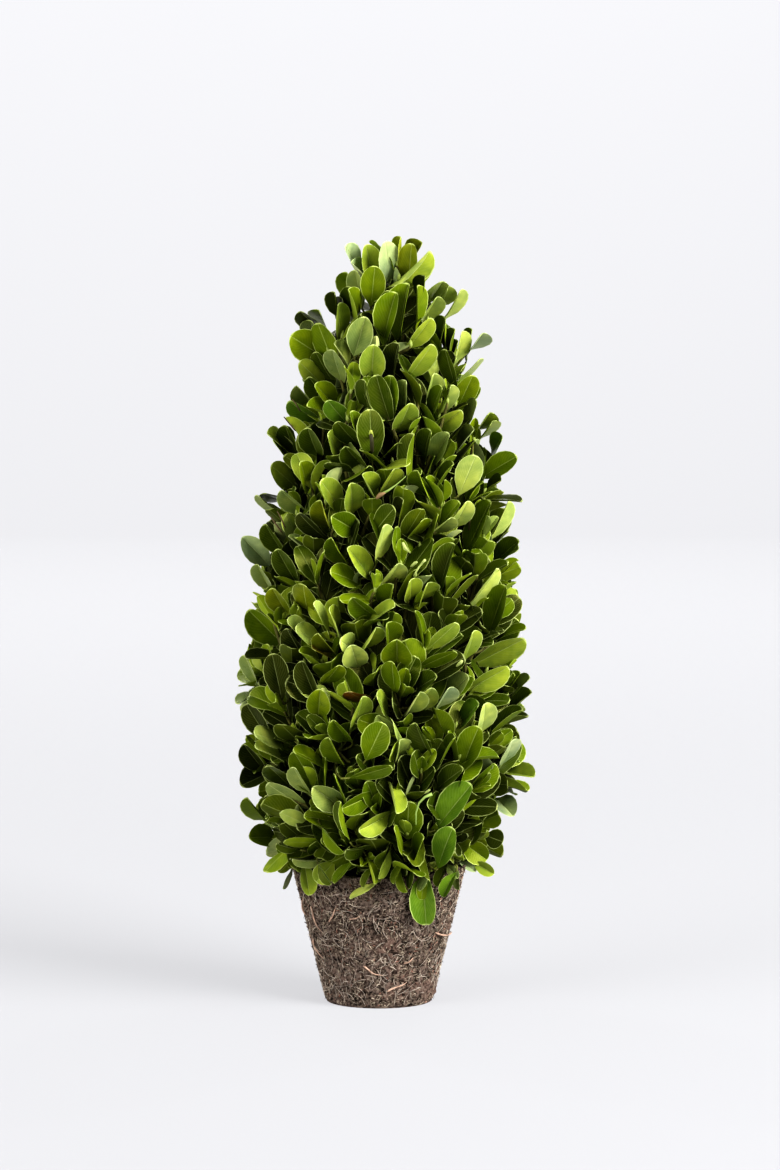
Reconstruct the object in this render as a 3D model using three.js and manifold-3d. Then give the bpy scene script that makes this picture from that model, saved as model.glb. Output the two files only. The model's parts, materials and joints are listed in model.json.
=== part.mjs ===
// A boxwood cone topiary, 407 mm tall, standing in a tapered pot of pressed peat.
//
// A short stem stands on the soil in the pot and runs up the middle. Round it the clipped
// foliage is five masses, one above the other, and each is one solid. A mass has a core that
// sprigs stand out of: a twig with crossed pairs of oval leaves. The sprigs droop over the
// pot's rim at the foot, lean out at the waist and stand upright at the tip.
//
// Millimetres and degrees, +Z up. The origin is the centre of the pot's flat underside, and
// the front of the plant faces -Y.

import * as THREE from "three";
import { mergeVertices } from "three/addons/utils/BufferGeometryUtils.js";
import Module from "manifold-3d";

const wasm = await Module();
wasm.setup();
const { Manifold, Mesh } = wasm;

// The whole plant
const TOTAL_HEIGHT = 407;
const SEAT_GAP = 0.3;
const LEAN_AT_TIP = 7;

// The pot
const POT_HEIGHT = 72;
const POT_RIM_RADIUS = 46;
const POT_FOOT_RADIUS = 28;
const POT_WALL = 3.5;
const POT_FLOOR = 5;
const POT_ROUNDING = 1.2;
const POT_SIDES = 40;
const POT_CLEARANCE = 1;

// The soil in the pot
const SOIL_TOP = 67;
const SOIL_DIP = 2.5;
const SOIL_FLAT_RADIUS = 14;

// The stem
const STEM_TIP = 345;
const STEM_FOOT_RADIUS = 8.5;
const STEM_RADIUS = 5.5;
const STEM_TIP_RADIUS = 1.5;
const STEM_FLARE = 14;
const STEM_SIDES = 10;

// The clipped outline of the foliage
const WIDEST_RADIUS = 75;
const WIDEST_HEIGHT = 160;
const UPPER_FULLNESS = 1.8;
const UPPER_TAPER = 1.4;
const FOOT_ROUNDNESS = 3;
const OUTLINE_FOOT = 58;
const LOWEST_SPRIG = 70;

// The cores
const SPRIG_DEPTH = 27;
const CORE_SIDES = 16;
const CORE_STEP = 18;
const SPACE_SIDES = 40;
const SPACE_RADIUS = 130;
const EDGE_STEP = 0.5;

// The sprigs: how many, how they are spread over the outline, and the angles they rise at
const SPRIG_COUNT = 85;
const GOLDEN_ANGLE = 137.508;
const AZIMUTH_SCATTER = 9;
const RISE_SCATTER = 10;
const PROUD_MEAN = -1;
const PROUD_SCATTER = 2.5;
const DROOP_AT_FOOT = -50;
const RISE_POWER = 0.3;
const STEEP_DROOP = -45;

// The twigs
const TWIG_ROOT_RADIUS = 2;
const TWIG_TIP_RADIUS = 1.5;
const TWIG_SIDES = 3;
const TWIG_SUNK = 5;
const TWIG_MARCH_STEPS = 90;

// The leaves, and how far they reach past the tip of their twig
const LEAF_LENGTH = 25.4;
const LEAF_WIDTH = 14.1;
const LEAF_THICKNESS = 1.5;
const LEAF_THICKEST = 0.4;
const LEAF_WIDEST = 0.58;
const LEAF_CUP = 2.6;
const LEAF_TIP_CUP = 0.8;
const LEAF_REACH = 22.7;
const LENGTH_SCATTER = 0.085;

// The crossed pairs of a sprig, from the lowest to the one at its tip
const PAIR_SPREADS = [66, 48, 26];
const PAIR_GAP = 7.5;
const FIRST_TURN = 45;
const TURN_SCATTER = 14;
const SPREAD_SCATTER = 7;

// The changes tried in turn where a leaf doesn't fit, and the overlap allowed with another leaf
const LEAF_TRIES = [
  { turn: 0, spread: 0, size: 1 },
  { turn: 14, spread: -6, size: 0.94 },
  { turn: -14, spread: 8, size: 0.94 },
  { turn: 26, spread: 0, size: 0.84 },
  { turn: -26, spread: -10, size: 0.84 },
];
const MOST_CROSSING = 0.1;

// Each mass of foliage, by the height on the outline where it ends
const MASSES = [
  { name: "foliage_skirt", top: 104, leaf: "#4d7526" },
  { name: "foliage_lower", top: 168, leaf: "#55802a" },
  { name: "foliage_middle", top: 236, leaf: "#5d8a2e" },
  { name: "foliage_upper", top: 306, leaf: "#658f34" },
  { name: "foliage_tip", top: TOTAL_HEIGHT, leaf: "#6d963b" },
];

// Sprigs that stand proud of the clipped outline: where on it, by how much, and their rise
const STRAYS = [
  { azimuth: 186, height: 243, proud: 8, rise: 22 },
  { azimuth: 192, height: 346, proud: 8, rise: 35 },
  { azimuth: 350, height: 286, proud: 7, rise: 45 },
  { azimuth: 178, height: 362, proud: 11, rise: 58 },
  { azimuth: 357, height: 357, proud: 10, rise: 58 },
  { azimuth: 352, height: 122, proud: 7, rise: 10 },
  { azimuth: 172, height: 178, proud: 4, rise: 22 },
  { azimuth: 95, height: 205, proud: 6, rise: 40 },
  { azimuth: 60, height: 316, proud: 4, rise: 60 },
  { azimuth: 122, height: 132, proud: 5, rise: 10 },
  { azimuth: 232, height: 60, proud: 25, rise: -66 },
  { azimuth: 268, height: 63, proud: 14, rise: -58 },
  { azimuth: 299, height: 53, proud: 52, rise: -80 },
  { azimuth: 320, height: 61, proud: 20, rise: -64 },
  { azimuth: 350, height: 66, proud: 12, rise: -45 },
  { azimuth: 18, height: 61, proud: 20, rise: -62 },
  { azimuth: 55, height: 63, proud: 14, rise: -58 },
  { azimuth: 92, height: 60, proud: 24, rise: -68 },
  { azimuth: 128, height: 62, proud: 16, rise: -60 },
  { azimuth: 165, height: 61, proud: 20, rise: -62 },
  { azimuth: 197, height: 65, proud: 12, rise: -58 },
  { azimuth: 20, height: 406.8, proud: 4, rise: 85 },
  { azimuth: 200, height: 401, proud: 9, rise: 76 },
  { azimuth: 290, height: 399, proud: 6, rise: 72 },
  { azimuth: 100, height: 396, proud: 7, rise: 72 },
];

const radians = THREE.MathUtils.degToRad;

// A fixed number from 0 to 1 for a pair of whole numbers
function chance(sprig, use) {
  const wave = Math.sin(sprig * 127.1 + use * 311.7) * 43758.5453;
  return wave - Math.floor(wave);
}

// A fixed number from -1 to 1
function swing(sprig, use) {
  return chance(sprig, use) * 2 - 1;
}

// How far the middle of the plant has moved to the right at a height
function leanAt(z) {
  return (LEAN_AT_TIP * (z - SOIL_TOP)) / (TOTAL_HEIGHT - SOIL_TOP);
}

// The foliage's radius at a height: an ogive above its widest place and a round foot below
function outlineRadius(z) {
  if (z >= WIDEST_HEIGHT) {
    const up = Math.min((z - WIDEST_HEIGHT) / (TOTAL_HEIGHT - WIDEST_HEIGHT), 1);
    return WIDEST_RADIUS * (1 - up ** UPPER_FULLNESS) ** (1 / UPPER_TAPER);
  }
  const down = Math.min((WIDEST_HEIGHT - z) / (WIDEST_HEIGHT - OUTLINE_FOOT), 1);
  return WIDEST_RADIUS * (1 - down ** FOOT_ROUNDNESS) ** (1 / FOOT_ROUNDNESS);
}

function coreRadius(z) {
  return Math.max(outlineRadius(z) - SPRIG_DEPTH, 0);
}

// The angle above level at which a sprig meets the outline at a height
function riseAt(z) {
  const up = (z - OUTLINE_FOOT) / (TOTAL_HEIGHT - OUTLINE_FOOT);
  return DROOP_AT_FOOT + (90 - DROOP_AT_FOOT) * up ** RISE_POWER;
}

function solidFrom(geometry) {
  geometry.deleteAttribute("normal");
  geometry.deleteAttribute("uv");
  const merged = mergeVertices(geometry, 1e-4);
  return new Manifold(
    new Mesh({
      numProp: 3,
      vertProperties: merged.attributes.position.array,
      triVerts: new Uint32Array(merged.index.array),
    }),
  );
}

// A solid turned about the Z axis, from [radius, height] pairs that go up the outside
function turned(profile, sides) {
  const points = profile.map(([radius, height]) => new THREE.Vector2(radius, height));
  return new THREE.LatheGeometry(points, sides).rotateX(Math.PI / 2);
}

// Leans a geometry with the plant
function leaned(geometry) {
  const perHeight = leanAt(SOIL_TOP + 1);
  const shear = new THREE.Matrix4().makeShear(0, 0, 0, 0, perHeight, 0);
  const back = new THREE.Matrix4().makeTranslation(-perHeight * SOIL_TOP, 0, 0);
  return geometry.applyMatrix4(shear).applyMatrix4(back);
}

function potOuterRadius(z) {
  return THREE.MathUtils.lerp(POT_FOOT_RADIUS, POT_RIM_RADIUS, z / POT_HEIGHT);
}

// The cup, with a rounded rim and a small chamfer round its flat foot
function makePot() {
  const inner = (z) => potOuterRadius(z) - POT_WALL;
  const shoulder = POT_HEIGHT - POT_ROUNDING;
  return turned(
    [
      [0, 0],
      [POT_FOOT_RADIUS - POT_ROUNDING, 0],
      [potOuterRadius(POT_ROUNDING), POT_ROUNDING],
      [potOuterRadius(shoulder), shoulder],
      [potOuterRadius(POT_HEIGHT) - POT_ROUNDING, POT_HEIGHT],
      [inner(POT_HEIGHT) + POT_ROUNDING, POT_HEIGHT],
      [inner(shoulder), shoulder],
      [inner(POT_FLOOR), POT_FLOOR],
      [0, POT_FLOOR],
    ],
    POT_SIDES,
  );
}

// The soil fills the cup. It is flat under the stem and dips a little towards the wall.
function makeSoil() {
  const radius = (z) => potOuterRadius(z) - POT_WALL - SEAT_GAP;
  const edge = SOIL_TOP - SOIL_DIP;
  const foot = POT_FLOOR + SEAT_GAP;
  return turned(
    [
      [0, foot],
      [radius(foot), foot],
      [radius(edge), edge],
      [(radius(edge) + SOIL_FLAT_RADIUS) / 2, SOIL_TOP - SOIL_DIP * 0.3],
      [SOIL_FLAT_RADIUS, SOIL_TOP],
      [0, SOIL_TOP],
    ],
    POT_SIDES,
  );
}

// The stem flares where it stands on the soil, then tapers to its tip. With a clearance it is
// the space that everything round it keeps free.
function makeStem(clearance) {
  const foot = SOIL_TOP + SEAT_GAP - clearance;
  const flareTop = SOIL_TOP + STEM_FLARE;
  return leaned(
    turned(
      [
        [0, foot],
        [STEM_FOOT_RADIUS + clearance, foot],
        [STEM_RADIUS * 1.15 + clearance, SOIL_TOP + STEM_FLARE * 0.4],
        [STEM_RADIUS + clearance, flareTop],
        [(STEM_RADIUS + STEM_TIP_RADIUS) / 2 + clearance, (flareTop + STEM_TIP) / 2],
        [STEM_TIP_RADIUS + clearance, STEM_TIP + clearance],
        [0, STEM_TIP + clearance],
      ],
      STEM_SIDES,
    ),
  );
}

// Where the line that runs inwards and down from the outline meets the core's surface
function rootOf(z) {
  const rise = radians(riseAt(z));
  const place = { radius: outlineRadius(z), height: z };
  while (place.radius > coreRadius(place.height)) {
    place.radius = Math.max(place.radius - Math.cos(rise) * EDGE_STEP, 0);
    place.height -= Math.sin(rise) * EDGE_STEP;
  }
  return place;
}

// The edge between two masses, from the axis outwards: level through the core, and then along
// the sprigs. A side of 1 is just above the edge and -1 just below it.
function edgeAt(z, side) {
  const root = rootOf(z);
  const slope = Math.tan(radians(riseAt(z)));
  const offset = (side * SEAT_GAP) / 2 / Math.cos(radians(riseAt(z)));
  return [
    [0, root.height + offset],
    [root.radius, root.height + offset],
    [SPACE_RADIUS, root.height + offset + (SPACE_RADIUS - root.radius) * slope],
  ];
}

// The space that a mass keeps to, clear of the pot and the stem
function makeSpace(bottom, top, barrier) {
  const under = bottom ? edgeAt(bottom, 1) : [[0, 0], [SPACE_RADIUS, 0]];
  const ceiling = TOTAL_HEIGHT + SPACE_RADIUS;
  const over = top < TOTAL_HEIGHT ? edgeAt(top, -1) : [[0, ceiling], [SPACE_RADIUS, ceiling]];
  const profile = [...under, ...over.reverse()];
  return solidFrom(leaned(turned(profile, SPACE_SIDES))).subtract(barrier);
}

// The cores of all the masses as one body, before it is divided
function makeCore() {
  const foot = SOIL_TOP + SEAT_GAP;
  const profile = [[0, foot]];
  for (let z = foot; coreRadius(z) > 0; z += CORE_STEP) {
    profile.push([coreRadius(z), z]);
  }
  const tip = profile.at(-1)[1] + CORE_STEP / 2;
  return solidFrom(leaned(turned([...profile, [0, tip]], CORE_SIDES)));
}

// The height on the outline below which a share of its surface lies
const outlineHeights = (() => {
  const heights = [];
  for (let z = LOWEST_SPRIG; z < TOTAL_HEIGHT; z += 1) {
    const slant = Math.hypot(1, outlineRadius(z + 1) - outlineRadius(z));
    const area = outlineRadius(z + 0.5) * slant;
    heights.push({ z, sum: (heights.at(-1)?.sum ?? 0) + area });
  }
  return heights;
})();
function heightAtShare(share) {
  const wanted = share * outlineHeights.at(-1).sum;
  return outlineHeights.find((row) => row.sum >= wanted).z;
}

// Every sprig in the plant: where its leaves meet the outline, and the way it points
function allSprigs() {
  const even = Array.from({ length: SPRIG_COUNT }, (_, i) => {
    const height = heightAtShare((i + 0.5) / SPRIG_COUNT);
    return {
      seed: i,
      azimuth: i * GOLDEN_ANGLE + swing(i, 1) * AZIMUTH_SCATTER,
      height,
      proud: PROUD_MEAN + swing(i, 2) * PROUD_SCATTER,
      rise: riseAt(height) + swing(i, 3) * RISE_SCATTER,
    };
  });
  return [...STRAYS.map((stray, i) => ({ seed: SPRIG_COUNT + i, ...stray })), ...even];
}

// A direction from an azimuth and a rise
function pointing(azimuth, rise) {
  const level = Math.cos(radians(rise));
  return new THREE.Vector3(
    level * Math.cos(radians(azimuth)),
    level * Math.sin(radians(azimuth)),
    Math.sin(radians(rise)),
  );
}

// The twig's two ends: its tip a leaf's reach inside the outline, its root sunk in the core
function twigEnds(sprig) {
  const along = pointing(sprig.azimuth, sprig.rise);
  const outward = pointing(sprig.azimuth, 0);
  const radius = outlineRadius(sprig.height) + sprig.proud;
  const tip = outward.clone().multiplyScalar(radius).setZ(sprig.height);
  tip.x += leanAt(sprig.height);
  tip.addScaledVector(along, -LEAF_REACH);
  const root = tip.clone();
  const depth = () => coreRadius(root.z) - Math.hypot(root.x - leanAt(root.z), root.y);
  const inwards = along.clone().negate();
  if (sprig.rise < STEEP_DROOP) {
    inwards.copy(outward).negate();
  }
  for (let step = 0; step < TWIG_MARCH_STEPS && depth() < TWIG_SUNK; step += 1) {
    root.add(inwards);
  }
  return { along, tip, root };
}

// A three-sided tapering twig
function makeTwig({ tip, root }) {
  const run = tip.clone().sub(root);
  const geometry = new THREE.CylinderGeometry(
    TWIG_TIP_RADIUS,
    TWIG_ROOT_RADIUS,
    run.length(),
    TWIG_SIDES,
  );
  const turn = new THREE.Quaternion().setFromUnitVectors(
    new THREE.Vector3(0, 1, 0),
    run.clone().normalize(),
  );
  const middle = root.clone().lerp(tip, 0.5);
  const size = new THREE.Vector3(1, 1, 1);
  return solidFrom(geometry.applyMatrix4(new THREE.Matrix4().compose(middle, turn, size)));
}

// A leaf lies along +Y from its root, with its upper side up. Its eight faces meet at a rim that
// is widest beyond the middle, and raised there so that the leaf is folded along its middle.
function leafGeometry(length, width) {
  const corners = [
    [0, 0, 0],
    [width / 2, length * LEAF_WIDEST, LEAF_CUP],
    [0, length, LEAF_TIP_CUP],
    [-width / 2, length * LEAF_WIDEST, LEAF_CUP],
    [0, length * LEAF_THICKEST, LEAF_THICKNESS / 2],
    [0, length * LEAF_THICKEST, -LEAF_THICKNESS / 2],
  ];
  const rim = [0, 1, 2, 3];
  const faces = rim.flatMap((corner, i) => {
    const next = rim[(i + 1) % rim.length];
    return [corner, next, 4, next, corner, 5];
  });
  return new THREE.BufferGeometry()
    .setAttribute("position", new THREE.Float32BufferAttribute(corners.flat(), 3))
    .setIndex(faces);
}

// A leaf on a twig. It leaves the twig at a node, on the side that its turn gives.
function makeLeaf(node, along, turn, spread, length) {
  const level = new THREE.Vector3(0, 0, 1).cross(along);
  const start = level.lengthSq() > 1e-4 ? level.normalize() : new THREE.Vector3(1, 0, 0);
  const side = start.applyAxisAngle(along, radians(turn));
  const blade = along.clone().multiplyScalar(Math.cos(radians(spread)));
  blade.addScaledVector(side, Math.sin(radians(spread)));
  const across = blade.clone().cross(along).normalize();
  const upper = across.clone().cross(blade);
  const place = new THREE.Matrix4().makeBasis(across, blade, upper).setPosition(node);
  return solidFrom(leafGeometry(length, (length * LEAF_WIDTH) / LEAF_LENGTH).applyMatrix4(place));
}

function boxesMeet(a, b) {
  return a.min.every((low, i) => low < b.max[i]) && b.min.every((low, i) => low < a.max[i]);
}

// True where a leaf cuts through one that is already in place
function crosses(leaf, placed) {
  const box = leaf.boundingBox();
  return placed.some(
    (other) => boxesMeet(box, other.box) && leaf.intersect(other.solid).volume() > MOST_CROSSING,
  );
}

// The twig and leaves of one sprig that fit in the space. A twig that doesn't fit takes the rise
// of its place. Where a leaf doesn't fit, it is turned or shortened, and left out if it still
// doesn't.
function makeSprig(sprig, space, placed) {
  const fits = (solid) => solid.subtract(space).isEmpty();
  const rises = [sprig.rise, riseAt(sprig.height)];
  const tried = rises.map((rise) => twigEnds({ ...sprig, rise }));
  const ends = tried.find((each) => fits(makeTwig(each)));
  if (!ends) {
    return [];
  }
  const pieces = [makeTwig(ends)];
  PAIR_SPREADS.forEach((spread, pair) => {
    const back = (PAIR_SPREADS.length - 1 - pair) * PAIR_GAP + TWIG_TIP_RADIUS;
    const node = ends.tip.clone().addScaledVector(ends.along, -back);
    for (const half of [0, 1]) {
      const use = 10 + pair * 2 + half;
      const turn = FIRST_TURN + pair * 90 + half * 180 + swing(sprig.seed, use) * TURN_SCATTER;
      const opened = spread + swing(sprig.seed, use + 10) * SPREAD_SCATTER;
      const length = LEAF_LENGTH * (1 + swing(sprig.seed, use + 20) * LENGTH_SCATTER);
      for (const change of LEAF_TRIES) {
        const leaf = makeLeaf(
          node,
          ends.along,
          turn + change.turn,
          opened + change.spread,
          length * change.size,
        );
        if (fits(leaf) && !crosses(leaf, placed)) {
          placed.push({ solid: leaf, box: leaf.boundingBox() });
          pieces.push(leaf);
          break;
        }
      }
    }
  });
  return pieces;
}

// The largest of a solid's bodies: a scrap is dropped, and so is the shell of a sealed hollow
function wholeOf(solid) {
  const bodies = solid.decompose();
  return bodies.reduce((best, body) => (body.volume() > best.volume() ? body : best));
}

function geometryOf(solid) {
  const { vertProperties, triVerts } = solid.getMesh();
  return new THREE.BufferGeometry()
    .setAttribute("position", new THREE.BufferAttribute(vertProperties, 3))
    .setIndex(new THREE.BufferAttribute(triVerts, 1));
}

function addMesh(group, name, geometry, color, roughness) {
  const material = new THREE.MeshStandardMaterial({ color, roughness, metalness: 0 });
  const mesh = new THREE.Mesh(geometry, material);
  mesh.geometry.computeVertexNormals();
  mesh.name = name;
  group.add(mesh);
}

// The masses of foliage, from the pot's rim to the tip
function addFoliage(group) {
  const potSpace = turned(
    [
      [0, -1],
      [POT_FOOT_RADIUS + POT_CLEARANCE, -1],
      [POT_RIM_RADIUS + POT_CLEARANCE, POT_HEIGHT + SEAT_GAP],
      [POT_RIM_RADIUS - POT_WALL - POT_CLEARANCE, POT_HEIGHT + SEAT_GAP],
      [SOIL_FLAT_RADIUS, SOIL_TOP + SEAT_GAP / 2],
      [0, SOIL_TOP + SEAT_GAP / 2],
    ],
    POT_SIDES,
  );
  const barrier = solidFrom(potSpace).add(solidFrom(makeStem(SEAT_GAP)));
  const core = makeCore();
  const sprigs = allSprigs();
  const placed = [];
  MASSES.forEach((mass, i) => {
    const bottom = MASSES[i - 1]?.top ?? 0;
    const space = makeSpace(bottom, mass.top, barrier);
    const own = sprigs.filter(({ height }) => height >= bottom && height < mass.top);
    const pieces = own.flatMap((sprig) => makeSprig(sprig, space, placed));
    const joined = wholeOf(Manifold.union([core.intersect(space), ...pieces]));
    addMesh(group, mass.name, geometryOf(joined), mass.leaf, 0.5);
  });
}

const topiary = new THREE.Group();
addMesh(topiary, "pot", makePot(), "#5b4d42", 0.95);
addMesh(topiary, "soil", makeSoil(), "#3a2f27", 1);
addMesh(topiary, "stem", makeStem(0), "#6e5a41", 0.85);
addFoliage(topiary);

export default topiary;
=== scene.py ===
# A boxwood cone topiary in a small tapered pot of pressed peat.
#
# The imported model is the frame: this script dresses it with the pot's peat and fibres, the
# soil, the bark of the stem, and the twigs and leaves of the clipped foliage. Metres, +Z up,
# with the front of the plant facing -Y.

import json
import math
from itertools import product

import bmesh
import bpy
import numpy as np
from mathutils import Matrix, Vector, noise
from mathutils.bvhtree import BVHTree

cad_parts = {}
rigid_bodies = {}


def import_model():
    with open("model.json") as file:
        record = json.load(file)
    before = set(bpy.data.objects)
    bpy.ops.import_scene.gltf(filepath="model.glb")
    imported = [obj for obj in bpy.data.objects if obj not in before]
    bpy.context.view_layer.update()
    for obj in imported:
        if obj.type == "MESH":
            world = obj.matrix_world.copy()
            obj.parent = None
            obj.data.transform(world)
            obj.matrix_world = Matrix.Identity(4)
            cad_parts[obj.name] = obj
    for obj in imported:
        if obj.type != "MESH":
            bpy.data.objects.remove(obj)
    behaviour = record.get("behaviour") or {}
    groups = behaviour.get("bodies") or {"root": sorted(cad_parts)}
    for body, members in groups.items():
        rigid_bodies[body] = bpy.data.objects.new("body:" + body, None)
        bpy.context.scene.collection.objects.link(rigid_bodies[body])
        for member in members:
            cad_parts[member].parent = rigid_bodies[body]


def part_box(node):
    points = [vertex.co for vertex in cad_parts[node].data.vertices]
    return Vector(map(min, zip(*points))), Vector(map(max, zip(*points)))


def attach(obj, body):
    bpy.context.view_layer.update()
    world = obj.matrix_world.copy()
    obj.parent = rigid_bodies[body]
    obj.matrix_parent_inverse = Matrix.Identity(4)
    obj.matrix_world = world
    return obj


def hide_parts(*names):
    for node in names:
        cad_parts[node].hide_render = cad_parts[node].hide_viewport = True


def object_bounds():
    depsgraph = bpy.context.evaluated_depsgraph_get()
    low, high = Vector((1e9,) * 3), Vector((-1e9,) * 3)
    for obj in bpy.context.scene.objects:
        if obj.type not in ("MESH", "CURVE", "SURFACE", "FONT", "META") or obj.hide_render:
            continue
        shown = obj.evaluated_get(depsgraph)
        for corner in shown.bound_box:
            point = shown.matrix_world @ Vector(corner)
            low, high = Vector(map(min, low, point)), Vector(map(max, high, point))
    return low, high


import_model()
cad_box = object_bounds()
scene = bpy.context.scene

# The view: a long lens a little above level, with the plant standing left of the middle of a
# tall picture. The plant's tip and foot are placed by their rows in it, and its axis by its
# column.
PICTURE_WIDTH = 780
PICTURE_HEIGHT = 1170
TIP_ROW = 236
FOOT_ROW = 1004
AXIS_COLUMN = 379
CAMERA_DISTANCE = 2.4
CAMERA_ELEVATION = math.radians(5)
SENSOR_HEIGHT = 0.036

metres_per_pixel = cad_box[1].z / (FOOT_ROW - TIP_ROW)
aim = Vector(
    (
        (PICTURE_WIDTH / 2 - AXIS_COLUMN) * metres_per_pixel,
        0,
        (FOOT_ROW - PICTURE_HEIGHT / 2) * metres_per_pixel,
    )
)
camera = bpy.data.objects.new("camera", bpy.data.cameras.new("camera"))
scene.collection.objects.link(camera)
camera.location = aim + CAMERA_DISTANCE * Vector(
    (0, -math.cos(CAMERA_ELEVATION), math.sin(CAMERA_ELEVATION))
)
camera.rotation_euler = (math.pi / 2 - CAMERA_ELEVATION, 0, 0)
camera.data.sensor_fit = "VERTICAL"
camera.data.sensor_height = SENSOR_HEIGHT * 1000
camera.data.lens = (
    camera.data.sensor_height * CAMERA_DISTANCE / (PICTURE_HEIGHT * metres_per_pixel)
)
scene.camera = camera

# The studio: a pale sheet of paper that runs over the floor and bends up behind the plant, and
# glows a little, so it comes out nearly white. A large soft lamp stands high on the right and a
# weaker one on the left, two light the paper behind, and white light comes from all round.
FLOOR_REACH = 4.2
SWEEP_BACK = 3.2
SWEEP_HEIGHT = 3.6
SWEEP_BEND = 0.7
SWEEP_BEND_STEPS = 24
SWEEP_SLACK = 0.01
PAPER_COLOUR = "#606061"
PAPER_ROUGHNESS = 0.9
PAPER_GLOSS = 0.1
PAPER_GLOW_COLOUR = "#f1f1f4"
PAPER_GLOW = 0.495
KEY_PLACE = (1.4, -1.1, 1.05)
KEY_SIZE = 1.2
KEY_POWER = 60
FILL_PLACE = (-1.5, -1.1, 0.7)
FILL_SIZE = 1.4
FILL_POWER = 24
WALL_LAMP_PLACES = ((-1.1, 1.6, 2.2), (1.1, 1.6, 2.2))
WALL_LAMP_AIM = (0, 3.2, 1.0)
WALL_LAMP_SIZE = 0.5
WALL_LAMP_POWER = 45
ROOM_COLOUR = "#f6f6f8"
ROOM_BRIGHTNESS = 0.4


def linear(code, alpha=1.0):
    """A colour code such as #a0b0c0 as the linear numbers that a shader takes."""
    parts = [int(code[i : i + 2], 16) / 255 for i in (1, 3, 5)]
    return (*[p / 12.92 if p <= 0.04045 else ((p + 0.055) / 1.055) ** 2.4 for p in parts], alpha)


def plain_material(name, code, roughness, gloss=0.5):
    """A material of one colour, and its tree and shader for the nodes that it gets later."""
    material = bpy.data.materials.new(name)
    material.use_nodes = True
    shader = material.node_tree.nodes["Principled BSDF"]
    shader.inputs["Base Color"].default_value = linear(code)
    shader.inputs["Roughness"].default_value = roughness
    shader.inputs["Specular IOR Level"].default_value = gloss
    return material, material.node_tree, shader


def start_shaping(name):
    """The primitive just added, named, with its place in its mesh, and in edit mode."""
    made = bpy.context.object
    made.name = name
    bpy.ops.object.transform_apply(location=True, rotation=True, scale=True)
    bpy.ops.object.mode_set(mode="EDIT")
    return made


def select(thing, kind, wanted):
    """Leaves selected only the edges or faces of a mesh in edit mode that a test picks."""
    bpy.ops.mesh.select_all(action="DESELECT")
    made = bmesh.from_edit_mesh(thing.data)
    for part in {"edges": made.edges, "faces": made.faces}[kind]:
        part.select_set(wanted(part))
    bmesh.update_edit_mesh(thing.data)


def bends_up(edge):
    """True for the edge at the back of the floor, where the paper bends up."""
    return all(v.co.y > SWEEP_BACK - SWEEP_SLACK and v.co.z < SWEEP_SLACK for v in edge.verts)


bpy.ops.object.select_all(action="DESELECT")
bpy.ops.mesh.primitive_plane_add(size=2 * FLOOR_REACH, location=(0, SWEEP_BACK - FLOOR_REACH, 0))
sweep = start_shaping("paper_sweep")
select(sweep, "edges", bends_up)
bpy.ops.mesh.extrude_edges_move(TRANSFORM_OT_translate={"value": (0, 0, SWEEP_HEIGHT)})
select(sweep, "edges", bends_up)
bpy.ops.mesh.bevel(offset=SWEEP_BEND, segments=SWEEP_BEND_STEPS)
bpy.ops.object.mode_set(mode="OBJECT")
bpy.ops.object.shade_smooth()
paper, _, paper_shader = plain_material("paper", PAPER_COLOUR, PAPER_ROUGHNESS, PAPER_GLOSS)
paper_shader.inputs["Emission Color"].default_value = linear(PAPER_GLOW_COLOUR)
paper_shader.inputs["Emission Strength"].default_value = PAPER_GLOW
sweep.data.materials.append(paper)


def add_lamp(name, place, target, size, power):
    """A square soft lamp that faces a point."""
    lamp = bpy.data.objects.new(name, bpy.data.lights.new(name, "AREA"))
    scene.collection.objects.link(lamp)
    lamp.location = place
    lamp.rotation_euler = (Vector(target) - lamp.location).to_track_quat("-Z", "Y").to_euler()
    lamp.data.size = size
    lamp.data.energy = power


plant_middle = (0, 0, aim.z)
add_lamp("key_lamp", KEY_PLACE, plant_middle, KEY_SIZE, KEY_POWER)
add_lamp("fill_lamp", FILL_PLACE, plant_middle, FILL_SIZE, FILL_POWER)
for i, place in enumerate(WALL_LAMP_PLACES):
    add_lamp(f"wall_lamp_{i + 1}", place, WALL_LAMP_AIM, WALL_LAMP_SIZE, WALL_LAMP_POWER)
room = bpy.data.worlds.new("room")
scene.world = room
room.use_nodes = True
room.node_tree.nodes["Background"].inputs["Color"].default_value = linear(ROOM_COLOUR)
room.node_tree.nodes["Background"].inputs["Strength"].default_value = ROOM_BRIGHTNESS
scene.view_settings.view_transform = "Standard"
scene.view_settings.look = "High Contrast"

# The pot's wall: a tapered cup of peat and coir pressed together, so its face is all grains
# and pits. It is a cylinder with its top widened, hollowed from above and then roughened.
POT_SIDES = 60
POT_RINGS = 17
POT_FOOT_RADIUS = 0.028
POT_WALL = 0.0035
POT_ROUNDING = 0.0012
POT_ROUNDING_STEPS = 2
POT_RIM_SLACK = 0.001
POT_LUMPS = 0.0006
POT_LUMP_SIZE = 0.02
POT_GRAIN = 0.0011
POT_GRAIN_SIZE = 0.003
POT_FLAT_FOOT = 0.0004
POT_BARE_FOOT = 0.002
GRAIN_DETAIL = (0.6, 2.1, 4)
LEVEL_NORMAL = 0.9
# Dark sits where the peat's grain sinks and Pale where it rises: partly the peat's own colours,
# partly painted shade in the pits and painted highlight on the tops
PEAT_COLOURS = {"Dark": "#1f1813", "Body": "#6b5d54", "Pale": "#a89b8b", "Flush": "#7c6358"}
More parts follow.
